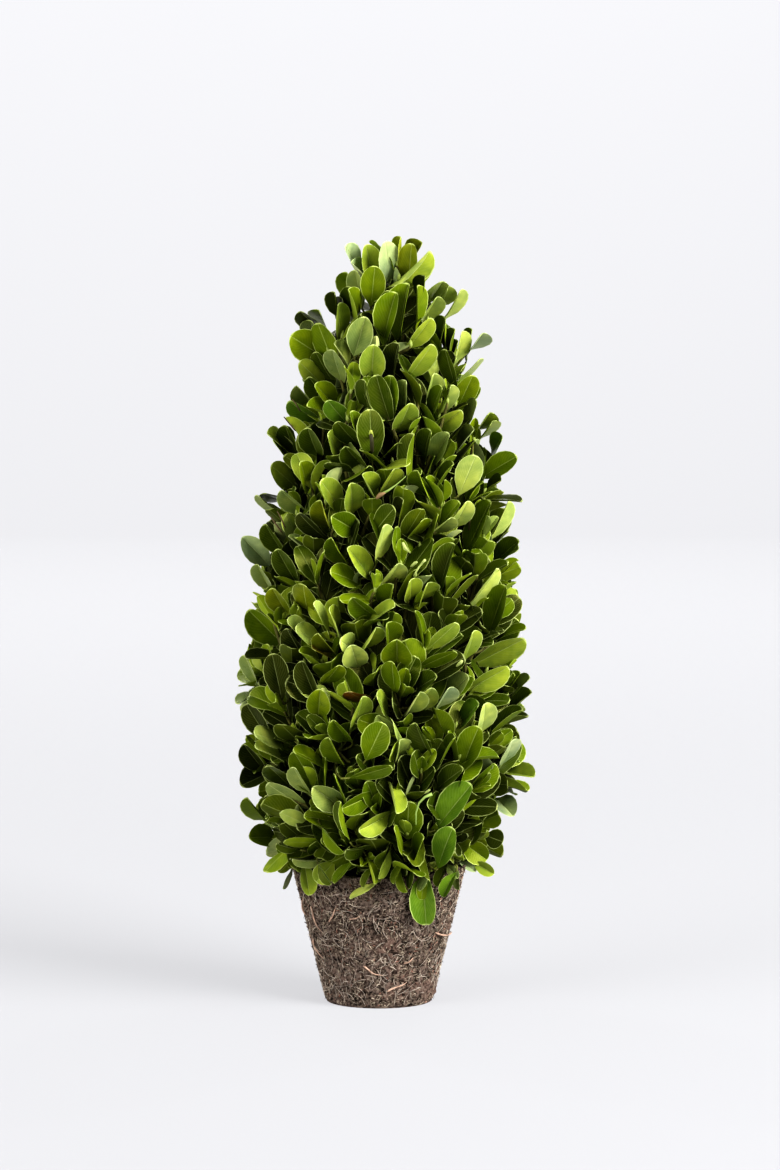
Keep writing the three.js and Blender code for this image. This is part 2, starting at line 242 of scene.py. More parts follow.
# The scale and the detail of each of the peat's three patterns, and where each colour sets in
PEAT_CRUMBS = (620, 5)
PEAT_CLODS = (170, 3)
PEAT_WASHES = (45, 2)
PEAT_BODY_RANGE = (0.38, 0.52)
PEAT_PALE_RANGE = (0.56, 0.72)
PEAT_FLUSH_RANGE = (0.5, 0.75)
PEAT_FLUSH_MOST = 0.5
PEAT_CLOD_RANGE = (0.3, 0.7)
PEAT_CLOD_ROUGHNESS = (0.8, 1.0)
PEAT_CLOD_HEIGHT = 1.5
PEAT_ROUGHNESS = 0.95
PEAT_GLOSS = 0.15
PEAT_BUMP = (0.7, 0.0006)

_, pot_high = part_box("pot")
soil_low, soil_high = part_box("soil")
pot_height = pot_high.z
pot_rim_radius = pot_high.x


def pot_radius(height):
    """The outer radius of the pot at a height."""
    return POT_FOOT_RADIUS + (pot_rim_radius - POT_FOOT_RADIUS) * height / pot_height


def add_cylinder(name, sides, radius, low, high):
    """A cylinder that stands between two heights, in edit mode."""
    bpy.ops.object.select_all(action="DESELECT")
    bpy.ops.mesh.primitive_cylinder_add(
        vertices=sides, radius=radius, depth=high - low, location=(0, 0, (high + low) / 2)
    )
    return start_shaping(name)


def looks_up(face):
    """True for a level face on top."""
    return face.normal.z > LEVEL_NORMAL


def on_rim(edge):
    """True for an edge that runs round the pot's rim and not across it."""
    first, second = [vertex.co for vertex in edge.verts]
    across = abs(first.xy.length - second.xy.length)
    return min(first.z, second.z) > pot_height - POT_RIM_SLACK and across < POT_RIM_SLACK / 2


def resize_round(share, height):
    """Widens or narrows what is selected, about the plant's axis at a height."""
    bpy.ops.transform.resize(value=(share, share, 1), center_override=(0, 0, height))


def cut_rings(thing, least, count):
    """Cuts rings into the edges that climb more than the least, and leaves edit mode."""
    select(thing, "edges", lambda edge: abs(edge.verts[0].co.z - edge.verts[1].co.z) > least)
    bpy.ops.mesh.subdivide(number_cuts=count)
    bpy.ops.object.mode_set(mode="OBJECT")


def apply_modifiers(thing):
    """Applies every modifier of an object in turn."""
    bpy.ops.object.select_all(action="DESELECT")
    thing.select_set(True)
    bpy.context.view_layer.objects.active = thing
    for modifier in list(thing.modifiers):
        bpy.ops.object.modifier_apply(modifier=modifier.name)


def make_finer(thing):
    """Halves every edge twice and keeps the shape, so that its face can be roughened."""
    finer = thing.modifiers.new("finer", "SUBSURF")
    finer.subdivision_type = "SIMPLE"
    finer.levels = finer.render_levels = 2
    apply_modifiers(thing)


def roughen(thing, shift):
    """Moves each vertex along its normal by what a function of its place gives."""
    made = bmesh.new()
    made.from_mesh(thing.data)
    made.normal_update()
    moves = [(vertex, vertex.normal.copy() * shift(vertex.co)) for vertex in made.verts]
    for vertex, move in moves:
        vertex.co += move
    made.to_mesh(thing.data)
    made.free()
    thing.data.update()


def grains(place, size):
    """Noise from -1 to 1 with detail at a size and below."""
    return noise.fractal(place / size, *GRAIN_DETAIL, noise_basis="PERLIN_NEW")


def pot_relief(place):
    """How far the pot's face stands out at a place, with nothing at its foot."""
    relief = POT_LUMPS * grains(place, POT_LUMP_SIZE) + POT_GRAIN * grains(place, POT_GRAIN_SIZE)
    return relief * min(1, max(place.z - POT_FLAT_FOOT, 0) / POT_BARE_FOOT)


def dress(thing, materials, nodes=()):
    """Gives a finished piece its materials and body, and hides the nodes that it stands for."""
    for material in materials:
        thing.data.materials.append(material)
    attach(thing, "root")
    if nodes:
        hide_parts(*nodes)


pot = add_cylinder("pot_wall", POT_SIDES, POT_FOOT_RADIUS, 0, pot_height)
select(pot, "faces", looks_up)
resize_round(pot_rim_radius / POT_FOOT_RADIUS, pot_height)
bpy.ops.mesh.inset(thickness=POT_WALL)
cup_depth = pot_height - soil_low.z
bpy.ops.mesh.extrude_region_move(TRANSFORM_OT_translate={"value": (0, 0, -cup_depth)})
resize_round((pot_radius(soil_low.z) - POT_WALL) / (pot_rim_radius - POT_WALL), soil_low.z)
select(pot, "edges", on_rim)
bpy.ops.mesh.bevel(offset=POT_ROUNDING, segments=POT_ROUNDING_STEPS)
cut_rings(pot, pot_height / 2, POT_RINGS)
make_finer(pot)
roughen(pot, pot_relief)
bpy.ops.object.shade_smooth()


def new_group(name, inputs, outputs):
    """A shader node group with named sockets, given as name and kind."""
    group = bpy.data.node_groups.new(name, "ShaderNodeTree")
    for label, kind in inputs.items():
        group.interface.new_socket(label, in_out="INPUT", socket_type=kind)
    for label, kind in outputs.items():
        group.interface.new_socket(label, in_out="OUTPUT", socket_type=kind)
    return group, group.nodes.new("NodeGroupInput"), group.nodes.new("NodeGroupOutput")


def add_noise(tree, vector, scale, detail=4.0, roughness=0.6):
    """A noise texture on a vector."""
    made = tree.nodes.new("ShaderNodeTexNoise")
    made.inputs["Scale"].default_value = scale
    made.inputs["Detail"].default_value = detail
    made.inputs["Roughness"].default_value = roughness
    tree.links.new(vector, made.inputs["Vector"])
    return made.outputs["Fac"]


def add_range(tree, value, low, high, to_low=0.0, to_high=1.0):
    """A value's stretch from low to high, spread from one number to another."""
    made = tree.nodes.new("ShaderNodeMapRange")
    made.interpolation_type = "SMOOTHSTEP"
    made.inputs["From Min"].default_value = low
    made.inputs["From Max"].default_value = high
    made.inputs["To Min"].default_value = to_low
    made.inputs["To Max"].default_value = to_high
    tree.links.new(value, made.inputs["Value"])
    return made.outputs["Result"]


def feed(tree, socket, given):
    """Gives a socket a value, or the link of another socket."""
    if isinstance(given, bpy.types.NodeSocket):
        tree.links.new(given, socket)
    else:
        socket.default_value = given


def add_mix(tree, share, first, second, how="MIX"):
    """Two colours mixed by a share. Each of the three is a socket or a value."""
    made = tree.nodes.new("ShaderNodeMix")
    made.data_type = "RGBA"
    made.blend_type = how
    for given, socket in ((share, 0), (first, 6), (second, 7)):
        feed(tree, made.inputs[socket], given)
    return made.outputs[2]


def add_math(tree, operation, first, second=0.0):
    """A sum on one or two sockets or numbers."""
    made = tree.nodes.new("ShaderNodeMath")
    made.operation = operation
    feed(tree, made.inputs[0], first)
    feed(tree, made.inputs[1], second)
    return made.outputs["Value"]


def grained_material(name, code, roughness, gloss, group, colours, bump):
    """A material whose colour and relief come from a node group at the piece's own place."""
    material, tree, shader = plain_material(name, code, roughness, gloss)
    grain = tree.nodes.new("ShaderNodeGroup")
    grain.node_tree = group
    for label, colour in colours.items():
        grain.inputs[label].default_value = linear(colour)
    place = tree.nodes.new("ShaderNodeTexCoord")
    relief = tree.nodes.new("ShaderNodeBump")
    strength, depth = bump
    relief.inputs["Strength"].default_value = strength
    relief.inputs["Distance"].default_value = depth
    tree.links.new(place.outputs["Object"], grain.inputs["Place"])
    tree.links.new(grain.outputs["Color"], shader.inputs["Base Color"])
    tree.links.new(grain.outputs["Height"], relief.inputs["Height"])
    tree.links.new(relief.outputs["Normal"], shader.inputs["Normal"])
    return material, tree, shader, grain


peat_group, peat_in, peat_out = new_group(
    "pressed_peat",
    {
        "Place": "NodeSocketVector",
        "Dark": "NodeSocketColor",
        "Body": "NodeSocketColor",
        "Pale": "NodeSocketColor",
        "Flush": "NodeSocketColor",
    },
    {"Color": "NodeSocketColor", "Roughness": "NodeSocketFloat", "Height": "NodeSocketFloat"},
)
# The crumbs set both colour and relief, so the dark of the pits is partly painted shade and the
# palest tops are partly painted highlight
crumbs = add_noise(peat_group, peat_in.outputs["Place"], *PEAT_CRUMBS)
clods = add_noise(peat_group, peat_in.outputs["Place"], *PEAT_CLODS)
washes = add_noise(peat_group, peat_in.outputs["Place"], *PEAT_WASHES)
peat_tone = peat_in.outputs["Dark"]
for label, pattern, edges, most in (
    ("Body", crumbs, PEAT_BODY_RANGE, 1),
    ("Pale", crumbs, PEAT_PALE_RANGE, 1),
    ("Flush", washes, PEAT_FLUSH_RANGE, PEAT_FLUSH_MOST),
):
    share = add_range(peat_group, pattern, *edges, 0, most)
    peat_tone = add_mix(peat_group, share, peat_tone, peat_in.outputs[label])
peat_group.links.new(peat_tone, peat_out.inputs["Color"])
peat_rough = add_range(peat_group, clods, *PEAT_CLOD_RANGE, *PEAT_CLOD_ROUGHNESS)
peat_group.links.new(peat_rough, peat_out.inputs["Roughness"])
raised_clods = add_math(peat_group, "MULTIPLY", clods, PEAT_CLOD_HEIGHT)
peat_relief = add_math(peat_group, "ADD", crumbs, raised_clods)
peat_group.links.new(peat_relief, peat_out.inputs["Height"])


def peat_material(name, colours):
    """Pressed or loose peat: grains of three browns over dark pits. The dark of the pits is
    partly painted shade, and the palest grain tops are partly painted highlight.
    """
    material, tree, shader, grain = grained_material(
        name, colours["Body"], PEAT_ROUGHNESS, PEAT_GLOSS, peat_group, colours, PEAT_BUMP
    )
    tree.links.new(grain.outputs["Roughness"], shader.inputs["Roughness"])
    return material


dress(pot, [peat_material("pressed_peat", PEAT_COLOURS)], ["pot"])

# The fibres and bits pressed into the pot's face: short straws of coir, flakes of bark and
# threads of root, in five browns. Each is a thin spindle that lies in the face, tilted a little
# out of it, and a few longer rootlets have worked loose.
FIBRE_COUNT = 18000
FIBRE_LENGTHS = (0.0011, 0.00176, 0.006)
FIBRE_WIDTHS = (0.0003, 0.0008)
FIBRE_DEPTHS = (-0.0001, 0.0003)
FIBRE_TILT = math.radians(34)
FIBRE_FOOT_GAP = 0.0006
FIBRE_RIM_GAP = 0.0005
FIBRE_CROWDING = 0.85
FIBRE_ROUGHNESS = 0.85
FIBRE_GLOSS = 0.2
FIBRE_DARKENING = 0.55
FIBRE_TONES = (260, 2)
FIBRE_TONE_RANGE = (0.35, 0.6)
FIBRE_COLOURS = {
    "fibre_black": ("#2a211c", 0.2),
    "fibre_brown": ("#625248", 0.26),
    "fibre_tan": ("#8f8071", 0.3),
    "fibre_straw": ("#bdb09d", 0.2),
    "fibre_rust": ("#a37a6a", 0.04),
}
# Each rootlet's azimuth and height on the wall, its length, its heading and how far it lifts off
ROOTLETS = [
    (336, 0.0385, 0.019, -5, 0.0034),
    (265, 0.0205, 0.012, -28, 0.0012),
    (234, 0.051, 0.011, 55, 0.0008),
    (252, 0.05, 0.006, 20, 0.0007),
    (214, 0.046, 0.016, -66, 0.0012),
    (205, 0.03, 0.013, -50, 0.0016),
    (297, 0.026, 0.006, 30, 0.0009),
    (288, 0.012, 0.012, 24, 0.0007),
    (196, 0.052, 0.011, 70, 0.0016),
    (20, 0.045, 0.015, 35, 0.0014),
    (75, 0.028, 0.014, -20, 0.0015),
    (110, 0.055, 0.012, 10, 0.001),
    (140, 0.041, 0.013, 60, 0.0013),
]
ROOTLET_COLOUR = "#c4a692"
ROOTLET_RADIUS = 0.00052
ROOTLET_THINNING = 0.75
ROOTLET_WANDER = 0.03
ROOTLET_WAVES = 7
ROOTLET_GAP = 0.0002
ROOTLET_STEPS = 14
ROOTLET_SIDES = 5
THREAD_COUNT = 520
THREAD_COLOUR = "#c9bcae"
THREAD_LENGTHS = (0.004, 0.013)
THREAD_FOOT_GAP = 0.004
THREAD_TOP_GAP = 0.006
THREAD_BOW = 1.3
THREAD_RIM_GAP = 0.0015
THREAD_GAP = 0.0003
THREAD_ARCH = 0.0009
THREAD_RADIUS = 0.00013
THREAD_FATNESS = 1.3
THREAD_STEPS = 7
THREAD_SIDES = 3
# A direction that no tube sets out along, from which its sides are turned
TUBE_SIDE = (0.31, 0.17, 0.93)
SPINDLE_WAIST = 0.1
SEED = 41

seeded = np.random.default_rng(SEED)


def add_mesh(name, corners, faces, slots=None, smooth=True):
    """A piece from arrays of corners and of faces that all have as many corners each."""
    mesh = bpy.data.meshes.new(name)
    count, sides = faces.shape
    mesh.vertices.add(len(corners))
    mesh.vertices.foreach_set("co", np.ascontiguousarray(corners, np.float32).ravel())
    mesh.loops.add(count * sides)
    mesh.loops.foreach_set("vertex_index", np.ascontiguousarray(faces, np.int32).ravel())
    mesh.polygons.add(count)
    mesh.polygons.foreach_set("loop_start", np.arange(count, dtype=np.int32) * sides)
    if slots is not None:
        mesh.polygons.foreach_set("material_index", np.ascontiguousarray(slots, np.int32))
    mesh.polygons.foreach_set("use_smooth", np.full(count, smooth))
    mesh.update(calc_edges=True)
    made = bpy.data.objects.new(name, mesh)
    scene.collection.objects.link(made)
    return made


def copied(shape_corners, shape_faces, places):
    """A shape copied to many 4 by 4 placings: all the corners, and all the faces."""
    ones = np.ones((len(shape_corners), 1))
    corners = np.einsum("nij,vj->nvi", places, np.hstack([shape_corners, ones]))[..., :3]
    steps = np.arange(len(places))[:, None, None] * len(shape_corners)
    return corners.reshape(-1, 3), (shape_faces[None] + steps).reshape(-1, shape_faces.shape[1])


def framed(origins, alongs, outs, scales):
    """Placings with their Y along one direction and their Z towards another."""
    y = alongs / np.linalg.norm(alongs, axis=1, keepdims=True)
    x = np.cross(y, outs)
    x /= np.linalg.norm(x, axis=1, keepdims=True)
    z = np.cross(x, y)
    placings = np.zeros((len(origins), 4, 4))
    for column, axis in enumerate((x, y, z)):
        placings[:, :3, column] = axis * scales[:, column : column + 1]
    placings[:, :3, 3] = origins
    placings[:, 3, 3] = 1
    return placings


# A three-sided spindle from -1 to 1 along Y
SPINDLE_CORNERS = np.array(
    [[0, -1, 0]]
    + [[math.cos(a), SPINDLE_WAIST, math.sin(a)] for a in np.radians([90, 210, 330])]
    + [[0, 1, 0]]
)
SPINDLE_FACES = np.array([[0, 1, 2], [0, 2, 3], [0, 3, 1], [4, 2, 1], [4, 3, 2], [4, 1, 3]])


def wall_frames(azimuths, heights):
    """Places on the pot's face with the directions out of it and up it."""
    slope = (pot_rim_radius - POT_FOOT_RADIUS) / pot_height
    level = np.stack([np.cos(azimuths), np.sin(azimuths), np.zeros_like(azimuths)], 1)
    ups = level * slope + np.array([0, 0, 1])
    ups /= np.linalg.norm(ups, axis=1, keepdims=True)
    around = np.cross(np.array([0, 0, 1]), level)
    outs = np.cross(around, ups)
    spots = level * pot_radius(heights)[:, None]
    spots[:, 2] = heights
    return spots, outs, ups, around


azimuths = seeded.uniform(0, 2 * math.pi, FIBRE_COUNT)
taller = seeded.uniform(0, 1, FIBRE_COUNT)
headings = seeded.uniform(0, math.pi, FIBRE_COUNT)
half_lengths = seeded.triangular(*FIBRE_LENGTHS, FIBRE_COUNT) / 2
lowest = FIBRE_FOOT_GAP + half_lengths * np.sin(headings)
heights = np.maximum((pot_height - FIBRE_RIM_GAP) * taller**FIBRE_CROWDING, lowest)
spots, outs, ups, around = wall_frames(azimuths, heights)
tilts = seeded.normal(0, FIBRE_TILT / 2, FIBRE_COUNT)
flat = np.cos(headings)[:, None] * around + np.sin(headings)[:, None] * ups
alongs = flat * np.cos(tilts)[:, None] + outs * np.sin(tilts)[:, None]
half_widths = seeded.uniform(*FIBRE_WIDTHS, FIBRE_COUNT) / 2
spots = spots + outs * seeded.uniform(*FIBRE_DEPTHS, FIBRE_COUNT)[:, None]
places = framed(spots, alongs, outs, np.stack([half_widths, half_lengths, half_widths], 1))
corners, faces = copied(SPINDLE_CORNERS, SPINDLE_FACES, places)
shares = [share for _, share in FIBRE_COLOURS.values()]
fibre_slots = seeded.choice(len(FIBRE_COLOURS), FIBRE_COUNT, p=np.array(shares) / sum(shares))
fibres = add_mesh("pot_fibres", corners, faces, np.repeat(fibre_slots, len(SPINDLE_FACES)), False)


def fibre_material(name, code):
    """A plain fibre whose tone wanders a little along the pot."""
    material, tree, shader = plain_material(name, code, FIBRE_ROUGHNESS, FIBRE_GLOSS)
    place = tree.nodes.new("ShaderNodeTexCoord")
    wander = add_noise(tree, place.outputs["Object"], *FIBRE_TONES)
    tone = linear(code)
    darker = tuple(part * FIBRE_DARKENING for part in tone[:3]) + (1,)
    mixed = add_mix(tree, add_range(tree, wander, *FIBRE_TONE_RANGE), darker, tone)
    tree.links.new(mixed, shader.inputs["Base Color"])
    return material


dress(fibres, [fibre_material(name, code) for name, (code, _) in FIBRE_COLOURS.items()])


def tube(points, radii, sides):
    """A closed tapering tube along points: its corners and its triangles."""
    points = np.asarray(points, float)
    runs = np.gradient(points, axis=0)
    runs /= np.linalg.norm(runs, axis=1, keepdims=True)
    start = np.cross(runs[0], TUBE_SIDE)
    across = np.empty_like(points)
    for i, run in enumerate(runs):
        start = start - run * start.dot(run)
        start /= np.linalg.norm(start)
        across[i] = start
    up = np.cross(runs, across)
    turns = (np.arange(sides) * 2 * math.pi / sides)[None, :, None]
    ring = np.cos(turns) * across[:, None] + np.sin(turns) * up[:, None]
    rings = points[:, None] + ring * np.asarray(radii)[:, None, None]
    corners = np.vstack([rings.reshape(-1, 3), points[0], points[-1]])
    triangles = []
    for i in range(len(points) - 1):
        for j in range(sides):
            a = i * sides + j
            b = i * sides + (j + 1) % sides
            triangles += [[a, b, b + sides], [a, b + sides, a + sides]]
    first, last = len(corners) - 2, len(corners) - 1
    top = (len(points) - 1) * sides
    for j in range(sides):
        after = (j + 1) % sides
        triangles += [[first, after, j], [last, top + j, top + after]]
    return corners, np.array(triangles)


def add_tubes(name, tubes, material):
    """A piece of several tubes in one material."""
    shifts = np.cumsum([0] + [len(corners) for corners, _ in tubes])[:-1]
    corners = np.vstack([corners for corners, _ in tubes])
    faces = np.vstack([triangles + shift for (_, triangles), shift in zip(tubes, shifts)])
    dress(add_mesh(name, corners, faces), [material])


def rootlet(azimuth, height, length, heading, lift):
    """A loose root: it leaves the pot's face, wanders past it and comes back to it."""
    spot, out, up, side = [
        rows[0] for rows in wall_frames(np.radians([azimuth]), np.array([height]))
    ]
    heading = math.radians(heading)
    along = side * math.cos(heading) + up * math.sin(heading)
    beside = np.cross(out, along)
    line = []
    for t in np.linspace(0, 1, ROOTLET_STEPS):
        run = length * (t - 0.5)
        bow = math.sin(t * math.pi) * lift + ROOTLET_GAP
        wander = math.sin(t * ROOTLET_WAVES + azimuth) * length * ROOTLET_WANDER
        sag = (run * math.cos(heading)) ** 2 / (2 * np.hypot(*spot[:2]))
        line.append(spot + along * run + beside * wander + out * (bow - sag))
    radii = ROOTLET_RADIUS * (1 - ROOTLET_THINNING * np.linspace(0, 1, ROOTLET_STEPS) ** 2)
    return tube(line, radii, ROOTLET_SIDES)


rootlets = [rootlet(*row) for row in ROOTLETS]
add_tubes("pot_rootlets", rootlets, fibre_material("rootlet_pink", ROOTLET_COLOUR))


def thread(turn, height, heading, length, bow):
    """A hair of root that lies on the pot's face in a shallow curve."""
    steps = np.linspace(-0.5, 0.5, THREAD_STEPS)
    arch = 0.25 - steps**2
    run = steps * length
    rise = bow * length * arch
    around_run = run * math.cos(heading) - rise * math.sin(heading)
    up_run = run * math.sin(heading) + rise * math.cos(heading)
    heights = np.clip(height + up_run, THREAD_RIM_GAP, pot_height - THREAD_RIM_GAP)
    spots, outs, _, _ = wall_frames(turn + around_run / pot_radius(height), heights)
    line = spots + outs * (THREAD_GAP + THREAD_ARCH * arch)[:, None]
    return tube(line, THREAD_RADIUS * (THREAD_FATNESS - np.abs(steps)), THREAD_SIDES)


threads = [
    thread(
        seeded.uniform(0, 2 * math.pi),
        seeded.uniform(THREAD_FOOT_GAP, pot_height - THREAD_TOP_GAP),
        seeded.uniform(0, math.pi),
        seeded.uniform(*THREAD_LENGTHS),
        seeded.uniform(-THREAD_BOW, THREAD_BOW),
    )
    for _ in range(THREAD_COUNT)
]
add_tubes("pot_threads", threads, fibre_material("thread_pale", THREAD_COLOUR))

# The soil: dark crumbs of peat heaped a little in the middle round the foot of the stem. A
# disc is lifted to that shape and roughened, and loose crumbs lie on it.
SOIL_SIDES = 48
SOIL_RINGS = (0.85, 0.7, 0.56, 0.43, 0.31, 0.2, 0.1)
SOIL_PLAY = 0.0003
SOIL_DIP = 0.0025
SOIL_FLAT_RADIUS = 0.014
SOIL_SLOPE = 1.5
SOIL_ROUGHNESS = 0.0006
SOIL_GRAIN_SIZE = 0.003
SOIL_SMOOTH_EDGE = 0.004
SOIL_TOP_SLACK = 0.0001
# As on the pot, the soil's dark in its pits is partly painted shade and its palest tops partly
# painted highlight
SOIL_COLOURS = {"Dark": "#120d0a", "Body": "#33271f", "Pale": "#57463a", "Flush": "#43332a"}
CRUMB_COUNT = 1500
CRUMB_SIZES = (0.0004, 0.0014)
CRUMB_LUMPS = 0.25
CRUMB_LUMP_STEP = 2.4
CRUMB_EDGE_GAP = 0.002
CRUMB_LEAST_SHARE = 0.04

soil_top = soil_high.z
soil_radius = soil_high.x
soil_edge_height = soil_top - SOIL_DIP
soil_foot_radius = pot_radius(soil_low.z) - POT_WALL - SOIL_PLAY


def soil_height(radius):
    """The height of the soil at a distance from the middle, as a smooth slope to its edge."""
    out = min(max((radius - SOIL_FLAT_RADIUS) / (soil_radius - SOIL_FLAT_RADIUS), 0), 1)
    return soil_top - SOIL_DIP * out**SOIL_SLOPE


soil = add_cylinder("soil_body", SOIL_SIDES, soil_foot_radius, soil_low.z, soil_edge_height)
select(soil, "faces", looks_up)
resize_round(soil_radius / soil_foot_radius, soil_edge_height)
last_ring = 1
for ring in SOIL_RINGS:
    bpy.ops.mesh.extrude_region_move()
    resize_round(ring / last_ring, soil_edge_height)
    last_ring = ring
bpy.ops.mesh.poke()
bpy.ops.object.mode_set(mode="OBJECT")
make_finer(soil)
for vertex in soil.data.vertices:
    if vertex.co.z > soil_edge_height - SOIL_TOP_SLACK:
        spread = vertex.co.xy.length
        calm = min(1, (soil_radius - spread) / SOIL_SMOOTH_EDGE)
        bumps = grains(vertex.co, SOIL_GRAIN_SIZE) * calm
        vertex.co.z = soil_height(spread) + SOIL_ROUGHNESS * bumps
bpy.ops.object.shade_smooth()
soil_material = peat_material("loose_peat", SOIL_COLOURS)
dress(soil, [soil_material], ["soil"])

bpy.ops.object.select_all(action="DESELECT")
bpy.ops.mesh.primitive_ico_sphere_add(subdivisions=1, radius=1)
crumb = bpy.context.object
crumb_corners = np.array([v.co[:] for v in crumb.data.vertices])
crumb_waves = np.arange(len(crumb_corners)) * CRUMB_LUMP_STEP
crumb_corners *= 1 + CRUMB_LUMPS * np.sin(crumb_waves)[:, None]
crumb_faces = np.array([p.vertices[:] for p in crumb.data.polygons])
bpy.data.objects.remove(crumb)
turns = seeded.uniform(0, 2 * math.pi, CRUMB_COUNT)
reaches = np.sqrt(seeded.uniform(CRUMB_LEAST_SHARE, 1, CRUMB_COUNT))
reaches *= soil_radius - CRUMB_EDGE_GAP
rests = [soil_height(reach) for reach in reaches]
spots = np.stack([np.cos(turns) * reaches, np.sin(turns) * reaches, rests], 1)
alongs = seeded.normal(0, 1, (CRUMB_COUNT, 3))
outs = seeded.normal(0, 1, (CRUMB_COUNT, 3))
sizes = seeded.uniform(*CRUMB_SIZES, (CRUMB_COUNT, 3))
corners, faces = copied(crumb_corners, crumb_faces, framed(spots, alongs, outs, sizes))
dress(add_mesh("soil_crumbs", corners, faces, smooth=False), [soil_material])

# The way the plant grows, which the model follows too. The outline is an ogive above its
# widest place and a round foot below, leaning a little to the right with height. Sprigs meet
# it evenly all over: drooping at the foot, leaning out at the waist and upright at the tip.
SPRIG_COUNT = 85
GOLDEN_ANGLE = 137.508
AZIMUTH_SCATTER = 9
RISE_SCATTER = 10
PROUD_MEAN = -0.001
PROUD_SCATTER = 0.0025
DROOP_AT_FOOT = -50
RISE_POWER = 0.3
STEEP_DROOP = -45
LEAN_AT_TIP = 0.007
WIDEST_RADIUS = 0.075
WIDEST_HEIGHT = 0.16
UPPER_FULLNESS = 1.8
UPPER_TAPER = 1.4
FOOT_ROUNDNESS = 3
OUTLINE_FOOT = 0.058
LOWEST_SPRIG = 0.07
SPRIG_DEPTH = 0.027
TWIG_SUNK = 0.005
ROOT_STEP = 0.001
ROOT_STEPS = 90
# Three numbers that make a fixed draw look like chance
DRAW_WAVES = (127.1, 311.7)
DRAW_HEIGHT = 43758.5453
# Each stray sprig's azimuth and height, how far it stands proud of the outline, and its rise
STRAYS = [
    (186, 0.243, 0.008, 22),
    (192, 0.346, 0.008, 35),
    (350, 0.286, 0.007, 45),
    (178, 0.362, 0.011, 58),
    (357, 0.357, 0.01, 58),
    (352, 0.122, 0.007, 10),
    (172, 0.178, 0.004, 22),
    (95, 0.205, 0.006, 40),
    (60, 0.316, 0.004, 60),
    (122, 0.132, 0.005, 10),
    (232, 0.06, 0.025, -66),
    (268, 0.063, 0.014, -58),
    (299, 0.053, 0.052, -80),
    (320, 0.061, 0.02, -64),
    (350, 0.066, 0.012, -45),
    (18, 0.061, 0.02, -62),
    (55, 0.063, 0.014, -58),
    (92, 0.06, 0.024, -68),
    (128, 0.062, 0.016, -60),
    (165, 0.061, 0.02, -62),
    (197, 0.065, 0.012, -58),
    (20, 0.4068, 0.004, 85),
    (200, 0.401, 0.009, 76),
    (290, 0.399, 0.006, 72),
    (100, 0.396, 0.007, 72),
]

plant_top = cad_box[1].z


def chance(sprig, use):
    """A fixed number from 0 to 1 for a pair of whole numbers."""
    wave = math.sin(sprig * DRAW_WAVES[0] + use * DRAW_WAVES[1]) * DRAW_HEIGHT
    return wave - math.floor(wave)


def swing(sprig, use):
    """A fixed number from -1 to 1."""
    return chance(sprig, use) * 2 - 1


def lean_at(height):
    """How far the middle of the plant has moved to the right at a height."""
    return LEAN_AT_TIP * (height - soil_top) / (plant_top - soil_top)


def outline_radius(height):
    """The radius of the clipped foliage at a height."""
    if height >= WIDEST_HEIGHT:
        up = min((height - WIDEST_HEIGHT) / (plant_top - WIDEST_HEIGHT), 1)
        return WIDEST_RADIUS * (1 - up**UPPER_FULLNESS) ** (1 / UPPER_TAPER)
    down = min((WIDEST_HEIGHT - height) / (WIDEST_HEIGHT - OUTLINE_FOOT), 1)
    return WIDEST_RADIUS * (1 - down**FOOT_ROUNDNESS) ** (1 / FOOT_ROUNDNESS)


def rise_at(height):
    """The angle above level at which a sprig meets the outline at a height."""
    up = (height - OUTLINE_FOOT) / (plant_top - OUTLINE_FOOT)
    return DROOP_AT_FOOT + (90 - DROOP_AT_FOOT) * up**RISE_POWER


def outline_heights():
    """Heights up the outline, a millimetre apart, with the surface below each."""
    total = 0
    rows = []
    for step in range(round((plant_top - LOWEST_SPRIG) * 1000)):
        height = LOWEST_SPRIG + step * 0.001
        slant = math.hypot(0.001, outline_radius(height + 0.001) - outline_radius(height))
        total += outline_radius(height + 0.0005) * slant
        rows.append((height, total))
    return rows


HEIGHT_ROWS = outline_heights()


def height_at_share(share):
    """The height on the outline below which a share of its surface lies."""
    wanted = share * HEIGHT_ROWS[-1][1]
    return next(height for height, total in HEIGHT_ROWS if total >= wanted)


def source_sprigs():
    """The sprigs of the model: the strays that stand proud, and then the even ones."""
    strays = []
    for i, row in enumerate(STRAYS):
        stray = dict(zip(("azimuth", "height", "proud", "rise"), row))
        strays.append({"seed": SPRIG_COUNT + i, **stray})
    even = []
    for i in range(SPRIG_COUNT):
        height = height_at_share((i + 0.5) / SPRIG_COUNT)
        even.append(
            {
                "seed": i,
                "azimuth": i * GOLDEN_ANGLE + swing(i, 1) * AZIMUTH_SCATTER,
                "height": height,
                "proud": PROUD_MEAN + swing(i, 2) * PROUD_SCATTER,
                "rise": rise_at(height) + swing(i, 3) * RISE_SCATTER,
            }
        )
    return strays + even


def pointing(azimuth, rise):
    """A direction from an azimuth and a rise in degrees."""
    level = math.cos(math.radians(rise))
    return Vector(
        (
            level * math.cos(math.radians(azimuth)),
            level * math.sin(math.radians(azimuth)),
            math.sin(math.radians(rise)),
        )
    )


def outline_point(sprig):
    """Where a sprig's leaves meet the outline."""
    point = pointing(sprig["azimuth"], 0) * (outline_radius(sprig["height"]) + sprig["proud"])
    point.z = sprig["height"]
    point.x += lean_at(sprig["height"])
    return point


# The finer sprigs. Between the model's sprigs, shorter ones branch from the nearest of them
# wherever there is room, and stop a little short of the outline, so that the clipped face is
# closed and has some depth.
FINE_SPACING = 0.0158
FINE_TRIES = 6000
FINE_SEED = 1000
FINE_END_GAP = 0.001
FINE_PROUD_MEAN = -0.0055
FINE_PROUD_SCATTER = 0.006
FINE_RISE_SCATTER = 24
FINE_HEADING_SCATTER = 40
FINE_TWIG_SHARE = 0.45
LEAF_REACH = 0.0205
TIP_LEAF_REACH = 0.0165
TIP_HEIGHT = 0.39
MODEL_LEAF_REACH = 0.0227

